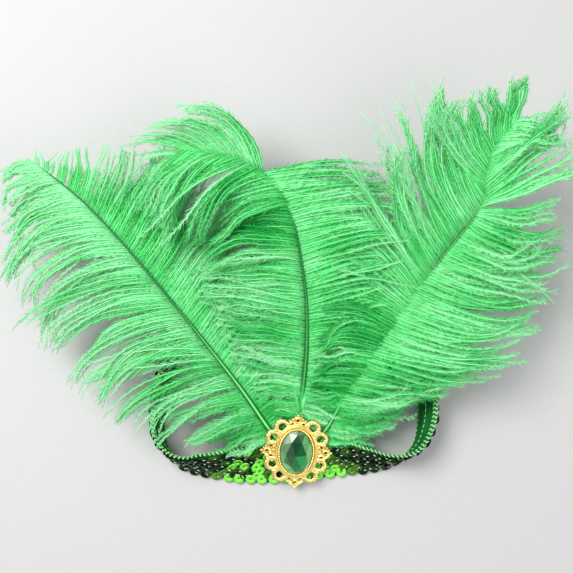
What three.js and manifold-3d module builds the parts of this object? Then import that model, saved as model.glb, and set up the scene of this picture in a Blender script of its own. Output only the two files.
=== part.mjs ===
// Feather headband lying on a table: a sequined elastic band, three plumes and a pierced gold brooch.
// Millimetres, +Z up. The band lies on Z = 0 with its front towards -Y and the plumes towards +Y.
import * as THREE from 'three';
import { ConvexGeometry } from 'three/addons/geometries/ConvexGeometry.js';
import { LoftGeometry } from 'three/addons/geometries/LoftGeometry.js';
import { mergeVertices } from 'three/addons/utils/BufferGeometryUtils.js';
import Module from 'manifold-3d';

const wasm = await Module();
wasm.setup();

// Clearance between neighbouring pieces, and the edges that a joint of two solids need not keep
const GAP = 0.3;
const SHORTEST_EDGE = 0.03;

// The tables below start from the middle of the band's front, and this moves the middle of the footprint
// to the origin
const FOOTPRINT_SHIFT_X = 8.5;
const FOOTPRINT_SHIFT_Y = -90.36;

// Band
const BAND_WIDTH = 22;
const ELASTIC_THICKNESS = 1.0;
const SEQUIN_THICKNESS = 1.2;
const SEQUIN_GROOVE = 0.5;
const SEQUIN_ROWS = 4;
const SEQUIN_MARGIN = 0.8;
const BAND_STEPS = 48;

// Loop of the band's lower edge seen from above, anticlockwise from the front.
// lean is how far the band's wall tips inwards from upright, in degrees.
const BAND_LOOP = [
  { x: 0, y: -10.2, lean: 78 },
  { x: 24, y: -6.6, lean: 70 },
  { x: 40, y: -4, lean: 46 },
  { x: 52, y: -0.6, lean: 27 },
  { x: 60.5, y: 4.5, lean: 13 },
  { x: 65.3, y: 11.5, lean: 0 },
  { x: 66.9, y: 20, lean: -11 },
  { x: 67.2, y: 33, lean: -19 },
  { x: 64.5, y: 56, lean: -16 },
  { x: 48.5, y: 92, lean: -10 },
  { x: 22, y: 112, lean: -8 },
  { x: 0, y: 115, lean: -8 },
  { x: -22, y: 112, lean: -8 },
  { x: -49, y: 92, lean: -10 },
  { x: -65, y: 56, lean: -15 },
  { x: -70, y: 35, lean: -16 },
  { x: -72.7, y: 18, lean: -6 },
  { x: -70, y: 6.5, lean: 11 },
  { x: -62.5, y: -1.6, lean: 28 },
  { x: -50, y: -6, lean: 43 },
  { x: -28, y: -10.3, lean: 69 },
];

// Brooch, in a plane that lies back on the band's front
const BROOCH_TILT = 12;
const BROOCH_TURN = -3;
const BROOCH_UP_BAND = 20.3;
const BROOCH_STANDOFF = 5.9;
const PLATE_HALF_WIDTH = 11.2;
const PLATE_HALF_HEIGHT = 14.6;
const PLATE_THICKNESS = 1.2;
const BEZEL_WALL = 1.5;
const BEZEL_BOTTOM = 0.5;
const BEZEL_HEIGHT = 3.0;
const BEZEL_BEADS = 28;
const BEZEL_NOTCH = 0.45;
const RIM_BEADS = 24;
const RIM_NOTCH = 0.7;
const RIM_BOTTOM = 0.3;
const RIM_HEIGHT = 1.9;
const RIM_OVERHANG = 0.9;
const RIM_INSET = 1.0;
const LOOP_RADIUS = 2.9;
const LOOP_WIRE = 0.86;
const LOOP_HEIGHT = 1.0;
const LOOP_SIDES = 10;
const LOOP_WIRE_SIDES = 5;
const CORNER_BEAD_RADIUS = 1.2;
const CORNER_BEAD_OUT = 1.03;
const LOBE_HOLE = 0.6;
const LOBE_BOTTOM = 0.1;
const SIDE_LOBE_OUT = 1.6;
const BEAD_SUNK = 0.1;

// Straight pieces to a quarter of each round outline
const OVAL_SEGMENTS = 12;
const RIM_SEGMENTS = 8;
const HOLE_SEGMENTS = 4;

// Ring loops round the plate, one quarter of them
const LOOPS = [
  { x: 8.3, y: 13.7 },
  { x: 12.7, y: 7.5 },
];

// Pointed lobe, from the plate outwards: half of its outline, its holes and its beads
const LOBE_OUTLINE = [
  { across: 6.0, out: -2.2 },
  { across: 5.2, out: 1.6 },
  { across: 2.6, out: 3.4 },
  { across: 0, out: 5.9 },
];
const LOBE_HOLES = [
  { across: -2.9, out: 0.9 },
  { across: 2.9, out: 0.9 },
  { across: 0, out: 3.2 },
];
const LOBE_BEADS = [
  { across: 0, out: 5.5, radius: 0.9 },
  { across: 2.1, out: 3.9, radius: 0.8 },
  { across: -2.1, out: 3.9, radius: 0.8 },
  { across: 4.3, out: 2.4, radius: 0.85 },
  { across: -4.3, out: 2.4, radius: 0.85 },
];

// Stone, an oval cut with a flat back
const STONE_HALF_WIDTH = 8.65;
const STONE_HALF_HEIGHT = 12.4;
const STONE_CLEARANCE = 0.4;
const STONE_RINGS = [
  { scale: 1.0, z: 0, sides: 16, turn: 0 },
  { scale: 1.0, z: 1.4, sides: 16, turn: 0 },
  { scale: 0.8, z: 3.3, sides: 8, turn: 0.5 },
  { scale: 0.52, z: 4.6, sides: 8, turn: 0 },
];

// Plumes: half width of the quill from its root to its tip, and the locks of barbs along it
const QUILL = [
  { at: 0, radius: 1.3 },
  { at: 0.3, radius: 1.15 },
  { at: 0.7, radius: 0.8 },
  { at: 1, radius: 0.4 },
];
const QUILL_SIDES = 6;
const QUILL_STEPS = 14;
const LOCKS = 9;
const LOCK_STEPS = 5;
const LOCK_THICKNESS = 3.0;
const LOCK_OVERLAP = 1.07;
const LOCKS_TO = 0.95;

// A lock turns from the quill's direction to its own over its first stretch, then narrows and thins
const LOCK_TURN = 0.35;
const LOCK_NARROWS = 0.9;
const LOCK_NARROWS_POWER = 2.4;
const LOCK_THINS = 0.75;

// How late along a barb its bend, its tip's turn and its droop come in
const BEND_POWER = 1.3;
const TIP_POWER = 4;
const DROOP_POWER = 1.5;

// Barbs on each side of a quill: at is the place along the quill, root the angle off it where a barb
// starts, bend and tip how much it turns by its middle and end, lift its rise and droop its fall
const BARB_COLUMNS = ['at', 'length', 'root', 'bend', 'tip', 'lift', 'droop'];
const PLUMES = [
  {
    name: 'feather_left',
    quill: [
      { x: -5.0, y: 7.3, z: 8.1 },
      { x: -16.4, y: 22.9, z: 11.4 },
      { x: -30.8, y: 44.4, z: 16.0 },
      { x: -55.9, y: 77.5, z: 22.5 },
      { x: -84.9, y: 113.8, z: 29.5 },
      { x: -108.6, y: 140.1, z: 35.0 },
      { x: -127.2, y: 155.8, z: 39.0 },
      { x: -137.7, y: 163.2, z: 41.0 },
    ],
    left: [
      [0.05, 18, 75, 20, 0, 14, 20],
      [0.12, 40, 70, 35, 0, 18, 22],
      [0.22, 56, 62, 45, 0, 18, 24],
      [0.33, 68, 56, 52, 0, 15, 30],
      [0.45, 68, 53, 58, 0, 11, 34],
      [0.60, 69, 50, 70, 10, 9, 30],
      [0.75, 64, 47, 70, 10, 8, 30],
      [0.88, 35, 44, 62, 0, 6, 25],
      [0.96, 17, 35, 50, 0, 4, 15],
      [1.00, 6, 12, 20, 0, 0, 5],
    ],
    right: [
      [0.05, 12, 75, 20, 0, 0, 10],
      [0.12, 20, 75, 10, 0, -3, 5],
      [0.30, 36, 74, 0, 0, -3, 0],
      [0.50, 48, 72, -4, 0, -2, 0],
      [0.70, 44, 72, -4, 0, -3, -4],
      [0.85, 20, 66, -4, 0, 0, -10],
      [0.95, 8, 56, -4, 0, 2, -10],
      [1.00, 4, 15, 0, 0, 0, 0],
    ],
    leftFrom: 0.1,
    rightFrom: 0.16,
  },
  {
    name: 'feather_centre',
    quill: [
      { x: -0.6, y: 9.0, z: 8.4 },
      { x: 3.1, y: 39.2, z: 14.8 },
      { x: 5.4, y: 66.7, z: 20.5 },
      { x: 4.6, y: 96.0, z: 26.5 },
      { x: -1.2, y: 130.1, z: 34.5 },
      { x: -7.1, y: 144.1, z: 39.0 },
      { x: -14.6, y: 153.8, z: 43.0 },
      { x: -24.6, y: 159.8, z: 47.0 },
      { x: -38.8, y: 164.4, z: 51.0 },
      { x: -53.3, y: 165.8, z: 50.0 },
      { x: -64.9, y: 163.5, z: 46.0 },
    ],
    left: [
      [0.06, 20, 95, 20, 0, 8, 10],
      [0.18, 40, 84, 10, 0, 12, 10],
      [0.35, 48, 76, 12, 0, 12, 12],
      [0.50, 50, 72, 30, 0, 11, 16],
      [0.60, 48, 66, 70, 0, 8, 24],
      [0.70, 50, 58, 90, 0, 6, 30],
      [0.80, 58, 48, 62, 0, 4, 30],
      [0.90, 48, 36, 50, 0, 2, 26],
      [1.00, 24, 10, 20, 0, 0, 10],
    ],
    right: [
      [0.06, 18, 95, 20, 0, 0, 10],
      [0.18, 40, 84, 10, 0, -3, 4],
      [0.35, 60, 78, 12, 0, -2, 0],
      [0.50, 62, 74, 30, 0, -1, 2],
      [0.62, 60, 88, 38, -4, -3, 6],
      [0.70, 54, 105, 30, -16, -2, 8],
      [0.753, 52, 122, 28, -20, 0, 8],
      [0.757, 48, 45, -82, 0, 4, 6],
      [0.85, 44, 40, -68, 0, 4, 10],
      [0.93, 34, 27, -32, 0, 2, 14],
      [1.00, 20, 8, -10, 0, 0, 10],
    ],
    leftFrom: 0.14,
    rightFrom: 0.14,
  },
  {
    name: 'feather_right',
    quill: [
      { x: 3.7, y: 7.3, z: 8.1 },
      { x: 15.7, y: 19.8, z: 10.7 },
      { x: 26.2, y: 38.4, z: 15.5 },
      { x: 46.6, y: 69.7, z: 25.0 },
      { x: 73.6, y: 111.7, z: 38.0 },
      { x: 92.0, y: 136.8, z: 47.0 },
      { x: 94.2, y: 151.8, z: 51.0 },
      { x: 96.0, y: 163.4, z: 55.0 },
      { x: 101.1, y: 171.6, z: 58.5 },
      { x: 108.2, y: 181.4, z: 62.0 },
    ],
    left: [
      [0.05, 12, 85, 20, 0, 12, 10],
      [0.15, 22, 88, 40, 0, 18, 10],
      [0.30, 34, 84, 50, 0, 18, 12],
      [0.45, 44, 80, 34, 0, 12, 12],
      [0.50, 52, 72, -4, 0, 8, 8],
      [0.55, 84, 62, -22, -6, 8, 2],
      [0.65, 80, 62, -20, 0, 8, -4],
      [0.78, 62, 52, -8, 0, 6, -10],
      [0.87, 40, 46, -4, 0, 4, -10],
      [0.94, 21, 40, -4, 0, 4, -10],
      [1.00, 8, 10, 0, 0, 0, 0],
    ],
    right: [
      [0.05, 14, 72, -6, 0, 14, 16],
      [0.12, 32, 66, -4, -14, 18, 22],
      [0.22, 50, 63, -4, -20, 17, 22],
      [0.38, 67, 71, -10, -20, 10, 20],
      [0.55, 58, 74, -14, -20, 6, 18],
      [0.66, 47, 63, -16, -12, 4, 14],
      [0.70, 52, 39, -4, 0, 4, 4],
      [0.77, 48, 34, 2, 6, 4, 2],
      [0.85, 36, 36, 2, 0, 4, 2],
      [0.95, 22, 32, 0, 0, 2, 0],
      [1.00, 8, 10, 0, 0, 0, 0],
    ],
    leftFrom: 0.2,
    rightFrom: 0.1,
  },
];

const UP = new THREE.Vector3(0, 0, 1);
const radians = THREE.MathUtils.degToRad;
const lerp = THREE.MathUtils.lerp;

// Only the places and faces of a geometry, with shared corners made one
function mergedOf(geometry) {
  const bare = new THREE.BufferGeometry();
  bare.setAttribute('position', geometry.attributes.position);
  bare.setIndex(geometry.index);
  return mergeVertices(bare);
}

// A geometry as a solid that can be joined and cut
function solidOf(geometry) {
  const merged = mergedOf(geometry);
  const vertProperties = new Float32Array(merged.attributes.position.array);
  const triVerts = new Uint32Array(merged.index.array);
  const tolerance = SHORTEST_EDGE;
  return new wasm.Manifold(new wasm.Mesh({ numProp: 3, vertProperties, triVerts, tolerance }));
}

// A solid back as a geometry
function geometryOf(solid) {
  const mesh = solid.getMesh();
  const geometry = new THREE.BufferGeometry();
  geometry.setAttribute('position', new THREE.Float32BufferAttribute(mesh.vertProperties, 3));
  geometry.setIndex(Array.from(mesh.triVerts));
  geometry.computeVertexNormals();
  return geometry;
}

// Closed loft: the last section meets the first, and shared points become one
function closedLoft(sections) {
  const merged = mergedOf(new LoftGeometry([...sections, sections[0]]));
  merged.computeVertexNormals();
  return merged;
}

// Value of a table column at a place between its rows
function between(rows, key, column, place) {
  let next = rows.findIndex((row) => row[key] >= place);
  if (next <= 0) next = next === 0 ? 1 : rows.length - 1;
  const a = rows[next - 1];
  const b = rows[next];
  const share = THREE.MathUtils.clamp((place - a[key]) / (b[key] - a[key]), 0, 1);
  return lerp(a[column], b[column], share);
}

// Band: its curve carries the lean as a third coordinate, so that the twist is smooth too
const LEAN_STEP = 5;
const bandCurve = new THREE.CatmullRomCurve3(
  BAND_LOOP.map((row) => new THREE.Vector3(row.x, row.y, row.lean / LEAN_STEP)), true, 'centripetal');

// Place on the band's wall from the share round the loop, the height up the wall and the depth outwards
function bandPoint(share, height, depth) {
  const edge = bandCurve.getPoint(share);
  const lean = radians(edge.z * LEAN_STEP);
  const inward = new THREE.Vector3().crossVectors(UP, bandCurve.getTangent(share)).normalize();
  const lowest = Math.max(0, -depth * Math.tan(lean));
  const along = Math.max(height, lowest);
  return edge.setZ(0)
    .addScaledVector(inward, along * Math.sin(lean) - depth * Math.cos(lean))
    .addScaledVector(UP, along * Math.cos(lean) + depth * Math.sin(lean));
}

function bandLoft(profile) {
  const sections = [];
  for (let step = 0; step < BAND_STEPS; step += 1) {
    const share = step / BAND_STEPS;
    sections.push(profile.map((corner) => bandPoint(share, corner.height, corner.depth)));
  }
  return closedLoft(sections);
}

// Corners up a face of the band, from one height to another
function bandStrips(from, to, strips, depthAt) {
  const corners = [];
  for (let strip = 0; strip <= strips; strip += 1) {
    corners.push({ height: lerp(from, to, strip / strips), depth: depthAt(strip) });
  }
  return corners;
}

const elasticProfile = [
  ...bandStrips(0, BAND_WIDTH, SEQUIN_ROWS, () => 0),
  ...bandStrips(BAND_WIDTH, 0, SEQUIN_ROWS, () => ELASTIC_THICKNESS),
];

// The sequins make a layer with one ridge to a row, cut back to clear the elastic all round the twist
const sequinFront = ELASTIC_THICKNESS + GAP + SEQUIN_THICKNESS;
const sequinHigh = BAND_WIDTH - SEQUIN_MARGIN;
const ridge = (strip) => (strip % 2 ? sequinFront : sequinFront - SEQUIN_GROOVE);
const sequinProfile = [
  { height: SEQUIN_MARGIN, depth: ELASTIC_THICKNESS },
  { height: sequinHigh, depth: ELASTIC_THICKNESS },
  ...bandStrips(sequinHigh, SEQUIN_MARGIN, SEQUIN_ROWS * 2, ridge),
];
const clearProfile = [
  ...bandStrips(0, BAND_WIDTH, 1, () => -ELASTIC_THICKNESS),
  ...bandStrips(BAND_WIDTH, 0, SEQUIN_ROWS, () => ELASTIC_THICKNESS + GAP),
];

function sequinGeometry() {
  return geometryOf(solidOf(bandLoft(sequinProfile)).subtract(solidOf(bandLoft(clearProfile))));
}

// Plumes: a place on a quill with the directions along it, across it to the right and up from it
function quillFrame(curve, at) {
  const point = curve.getPointAt(at);
  const along = curve.getTangentAt(at);
  const up = UP.clone().addScaledVector(along, -UP.dot(along)).normalize();
  const across = new THREE.Vector3().crossVectors(along, up);
  return { point, along, up, across };
}

// Path of one barb, as points with the direction at each
function barbPath(frame, barb, side, steps) {
  const path = [];
  const point = frame.point.clone();
  const direction = new THREE.Vector3();
  for (let step = 0; step <= steps; step += 1) {
    const share = step / steps;
    const turn = radians(barb.root + barb.bend * share ** BEND_POWER + barb.tip * share ** TIP_POWER);
    const rise = radians(barb.lift - barb.droop * share ** DROOP_POWER);
    direction.set(0, 0, 0)
      .addScaledVector(frame.along, Math.cos(rise) * Math.cos(turn))
      .addScaledVector(frame.across, side * Math.cos(rise) * Math.sin(turn))
      .addScaledVector(frame.up, Math.sin(rise));
    path.push({ point: point.clone(), direction: direction.clone() });
    point.addScaledVector(direction, barb.length / steps);
  }
  return path;
}

// One lock of barbs: a flat lens that starts along the quill and narrows to its tip
function lockSolid(curve, rows, side, at, spacing) {
  const frame = quillFrame(curve, at);
  const barb = {};
  for (const column of BARB_COLUMNS) barb[column] = between(rows, 'at', column, at);
  const sections = barbPath(frame, barb, side, LOCK_STEPS).map(({ point, direction }, step) => {
    const share = step / LOCK_STEPS;
    const normal = frame.up.clone().addScaledVector(direction, -frame.up.dot(direction)).normalize();
    const square = new THREE.Vector3().crossVectors(direction, normal);
    const early = THREE.MathUtils.smoothstep(share, 0, LOCK_TURN);
    const width = frame.along.clone().multiplyScalar(-side).lerp(square, early).normalize();
    const lean = lerp(1, Math.sin(radians(barb.root)), early);
    const narrow = 1 - LOCK_NARROWS * share ** LOCK_NARROWS_POWER;
    const halfWidth = 0.5 * spacing * LOCK_OVERLAP * lean * narrow;
    const halfThickness = 0.5 * LOCK_THICKNESS * (1 - LOCK_THINS * share);
    return [
      point.clone().addScaledVector(width, halfWidth),
      point.clone().addScaledVector(normal, -halfThickness),
      point.clone().addScaledVector(width, -halfWidth),
      point.clone().addScaledVector(normal, halfThickness),
    ];
  });
  return solidOf(new LoftGeometry(sections, { capStart: true, capEnd: true }));
}

function quillSolid(curve) {
  const sections = [];
  for (let step = 0; step <= QUILL_STEPS; step += 1) {
    const at = step / QUILL_STEPS;
    const frame = quillFrame(curve, at);
    const radius = between(QUILL, 'at', 'radius', at);
    const ring = [];
    for (let corner = 0; corner < QUILL_SIDES; corner += 1) {
      const angle = corner / QUILL_SIDES * 2 * Math.PI;
      ring.push(frame.point.clone()
        .addScaledVector(frame.across, radius * Math.sin(angle))
        .addScaledVector(frame.up, radius * Math.cos(angle)));
    }
    sections.push(ring);
  }
  return solidOf(new LoftGeometry(sections, { capStart: true, capEnd: true }));
}

function tableRows(table) {
  return table.map((row) => Object.fromEntries(BARB_COLUMNS.map((column, place) => [column, row[place]])));
}

function plumeGeometry(plume) {
  const curve = new THREE.CatmullRomCurve3(
    plume.quill.map((row) => new THREE.Vector3(row.x, row.y, row.z)), false, 'catmullrom', 0.5);
  const sides = [
    { side: -1, rows: tableRows(plume.left), from: plume.leftFrom },
    { side: 1, rows: tableRows(plume.right), from: plume.rightFrom },
  ];
  let solid = quillSolid(curve);
  for (const { side, rows, from } of sides) {
    const spacing = curve.getLength() * (LOCKS_TO - from) / LOCKS;
    for (let lock = 0; lock < LOCKS; lock += 1) {
      const at = lerp(from, LOCKS_TO, (lock + 0.5) / LOCKS);
      solid = solid.add(lockSolid(curve, rows, side, at, spacing));
    }
  }
  return geometryOf(solid);
}

// Brooch setting
function ovalShape(halfWidth, halfHeight) {
  return new THREE.Shape().absellipse(0, 0, halfWidth, halfHeight, 0, 2 * Math.PI);
}

function extrusion(shape, bottom, height, curveSegments) {
  const geometry = new THREE.ExtrudeGeometry(shape, { depth: height, bevelEnabled: false, curveSegments });
  return geometry.translate(0, 0, bottom);
}

function bead(x, y, z, radius) {
  return solidOf(new THREE.OctahedronGeometry(radius, 0).translate(x, y, z));
}

// Oval outline with one notch to a bead
function beadedOval(halfWidth, halfHeight, beads, notch) {
  const points = [];
  for (let corner = 0; corner < beads * 2; corner += 1) {
    const angle = corner / beads * Math.PI;
    const inset = corner % 2 ? notch : 0;
    points.push(new THREE.Vector2((halfWidth - inset) * Math.cos(angle), (halfHeight - inset) * Math.sin(angle)));
  }
  return new THREE.Shape(points);
}

// A lobe points along +Y from an edge, and is turned to its side of the plate
function lobeSolid(edge, turn) {
  const left = LOBE_OUTLINE.slice(0, -1).reverse().map((row) => ({ across: -row.across, out: row.out }));
  const outline = [...LOBE_OUTLINE, ...left];
  const shape = new THREE.Shape(outline.map((row) => new THREE.Vector2(row.across, edge + row.out)));
  for (const hole of LOBE_HOLES) {
    shape.holes.push(new THREE.Path().absarc(hole.across, edge + hole.out, LOBE_HOLE, 0, 2 * Math.PI));
  }
  let lobe = solidOf(extrusion(shape, LOBE_BOTTOM, PLATE_THICKNESS, HOLE_SEGMENTS).rotateZ(turn));
  for (const row of LOBE_BEADS) {
    const place = new THREE.Vector3(row.across, edge + row.out, PLATE_THICKNESS).applyAxisAngle(UP, turn);
    lobe = lobe.add(bead(place.x, place.y, place.z - BEAD_SUNK, row.radius));
  }
  return lobe;
}

// The same thing on all four quarters of the brooch
const QUARTERS = [[1, 1], [1, -1], [-1, 1], [-1, -1]];

function settingGeometry() {
  const innerWidth = STONE_HALF_WIDTH + STONE_CLEARANCE;
  const innerHeight = STONE_HALF_HEIGHT + STONE_CLEARANCE;
  const plateShape = ovalShape(PLATE_HALF_WIDTH, PLATE_HALF_HEIGHT);
  const bezelShape = beadedOval(innerWidth + BEZEL_WALL, innerHeight + BEZEL_WALL, BEZEL_BEADS, BEZEL_NOTCH);
  bezelShape.holes.push(ovalShape(innerWidth, innerHeight));
  const rimShape = beadedOval(
    PLATE_HALF_WIDTH + RIM_OVERHANG, PLATE_HALF_HEIGHT + RIM_OVERHANG, RIM_BEADS, RIM_NOTCH);
  rimShape.holes.push(ovalShape(innerWidth + RIM_INSET, innerHeight + RIM_INSET));
  let solid = solidOf(extrusion(plateShape, 0, PLATE_THICKNESS, OVAL_SEGMENTS))
    .add(solidOf(extrusion(bezelShape, BEZEL_BOTTOM, BEZEL_HEIGHT - BEZEL_BOTTOM, OVAL_SEGMENTS)))
    .add(solidOf(extrusion(rimShape, RIM_BOTTOM, RIM_HEIGHT - RIM_BOTTOM, RIM_SEGMENTS)));
  const cornerX = (LOOPS[0].x + LOOPS[1].x) / 2 * CORNER_BEAD_OUT;
  const cornerY = (LOOPS[0].y + LOOPS[1].y) / 2 * CORNER_BEAD_OUT;
  for (const [signX, signY] of QUARTERS) {
    for (const row of LOOPS) {
      const ring = new THREE.TorusGeometry(LOOP_RADIUS, LOOP_WIRE, LOOP_WIRE_SIDES, LOOP_SIDES);
      solid = solid.add(solidOf(ring.translate(signX * row.x, signY * row.y, LOOP_HEIGHT)));
    }
    solid = solid.add(bead(signX * cornerX, signY * cornerY, LOOP_HEIGHT, CORNER_BEAD_RADIUS));
  }
  return geometryOf(solid
    .add(lobeSolid(PLATE_HALF_HEIGHT, 0))
    .add(lobeSolid(PLATE_HALF_HEIGHT, Math.PI))
    .add(lobeSolid(PLATE_HALF_WIDTH + SIDE_LOBE_OUT, Math.PI / 2))
    .add(lobeSolid(PLATE_HALF_WIDTH + SIDE_LOBE_OUT, -Math.PI / 2)));
}

// Stone: the hull of its rings of corners gives the table, crown facets, girdle and back
function stoneGeometry() {
  const points = [];
  for (const ring of STONE_RINGS) {
    for (let corner = 0; corner < ring.sides; corner += 1) {
      const angle = (corner + ring.turn) / ring.sides * 2 * Math.PI;
      const x = STONE_HALF_WIDTH * ring.scale * Math.sin(angle);
      const y = STONE_HALF_HEIGHT * ring.scale * Math.cos(angle);
      points.push(new THREE.Vector3(x, y, ring.z));
    }
  }
  return new ConvexGeometry(points);
}

// Materials
const elasticMaterial = new THREE.MeshStandardMaterial({ color: 0x1a6e2d, roughness: 0.8, metalness: 0 });
const sequinMaterial = new THREE.MeshStandardMaterial({ color: 0x2f9a2b, roughness: 0.25, metalness: 0.2 });
const featherMaterial = new THREE.MeshStandardMaterial({ color: 0x3fc766, roughness: 0.75, metalness: 0 });
const goldMaterial = new THREE.MeshStandardMaterial({ color: 0xe0b75a, roughness: 0.3, metalness: 1 });
const stoneMaterial = new THREE.MeshStandardMaterial({ color: 0x1d7a44, roughness: 0.05, metalness: 0 });

function piece(name, geometry, material) {
  const mesh = new THREE.Mesh(geometry, material);
  mesh.name = name;
  return mesh;
}

// Assembly
const headband = new THREE.Group();
headband.position.set(FOOTPRINT_SHIFT_X, FOOTPRINT_SHIFT_Y, 0);
headband.add(piece('elastic_band', bandLoft(elasticProfile), elasticMaterial));
headband.add(piece('sequin_rows', sequinGeometry(), sequinMaterial));
for (const plume of PLUMES) {
  headband.add(piece(plume.name, plumeGeometry(plume), featherMaterial));
}

const bandFront = new THREE.Group();
bandFront.position.set(BAND_LOOP[0].x, BAND_LOOP[0].y, 0);
bandFront.rotation.x = radians(BROOCH_TILT);
headband.add(bandFront);

const brooch = new THREE.Group();
brooch.position.set(0, BROOCH_UP_BAND, BROOCH_STANDOFF);
brooch.rotation.z = radians(BROOCH_TURN);
bandFront.add(brooch);

const stone = piece('brooch_stone', stoneGeometry(), stoneMaterial);
stone.position.z = PLATE_THICKNESS + GAP;
brooch.add(piece('brooch_setting', settingGeometry(), goldMaterial));
brooch.add(stone);

const part = new THREE.Group();
part.add(headband);

export default part;
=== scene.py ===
import bpy
import numpy as np
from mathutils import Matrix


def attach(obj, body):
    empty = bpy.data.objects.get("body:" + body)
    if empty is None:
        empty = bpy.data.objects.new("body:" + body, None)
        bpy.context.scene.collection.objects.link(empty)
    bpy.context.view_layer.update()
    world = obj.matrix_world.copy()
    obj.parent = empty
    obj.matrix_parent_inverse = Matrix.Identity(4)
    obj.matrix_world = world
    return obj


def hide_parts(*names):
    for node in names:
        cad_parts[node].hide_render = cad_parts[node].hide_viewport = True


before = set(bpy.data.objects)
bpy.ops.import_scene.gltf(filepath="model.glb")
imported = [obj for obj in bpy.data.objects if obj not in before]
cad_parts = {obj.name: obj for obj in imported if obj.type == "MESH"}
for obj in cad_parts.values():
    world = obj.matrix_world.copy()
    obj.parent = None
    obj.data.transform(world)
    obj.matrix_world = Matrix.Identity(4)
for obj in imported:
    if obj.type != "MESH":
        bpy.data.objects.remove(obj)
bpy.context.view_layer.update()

bl_info = {
    "name": "Feather headband",
    "version": (1, 0, 0),
    "blender": (4, 5, 0),
    "location": "View3D > Sidebar > Headband",
    "description": "Dresses the headband frame with plumes, sequined elastic and a stone brooch",
    "category": "Object",
}

# Work frame: millimetres, with the origin under the middle of the band's front
MM = 0.001
WORK_SHIFT = np.array([8.5, -90.36, 0.0])
UP = np.array([0.0, 0.0, 1.0])

# Elastic loop, anticlockwise from the front: x, y and lean in degrees
BAND_LOOP = np.array([
    (0, -10.2, 78), (24, -6.6, 70), (40, -4, 46), (52, -0.6, 27), (60.5, 4.5, 13), (65.3, 11.5, 0),
    (66.9, 20, -11), (67.2, 33, -19), (64.5, 56, -16), (48.5, 92, -10), (22, 112, -8), (0, 115, -8),
    (-22, 112, -8), (-49, 92, -10), (-65, 56, -15), (-70, 35, -16), (-72.7, 18, -6), (-70, 6.5, 11),
    (-62.5, -1.6, 28), (-50, -6, 43), (-28, -10.3, 69),
], float)
LEAN_PER_MM = 5.0

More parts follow.
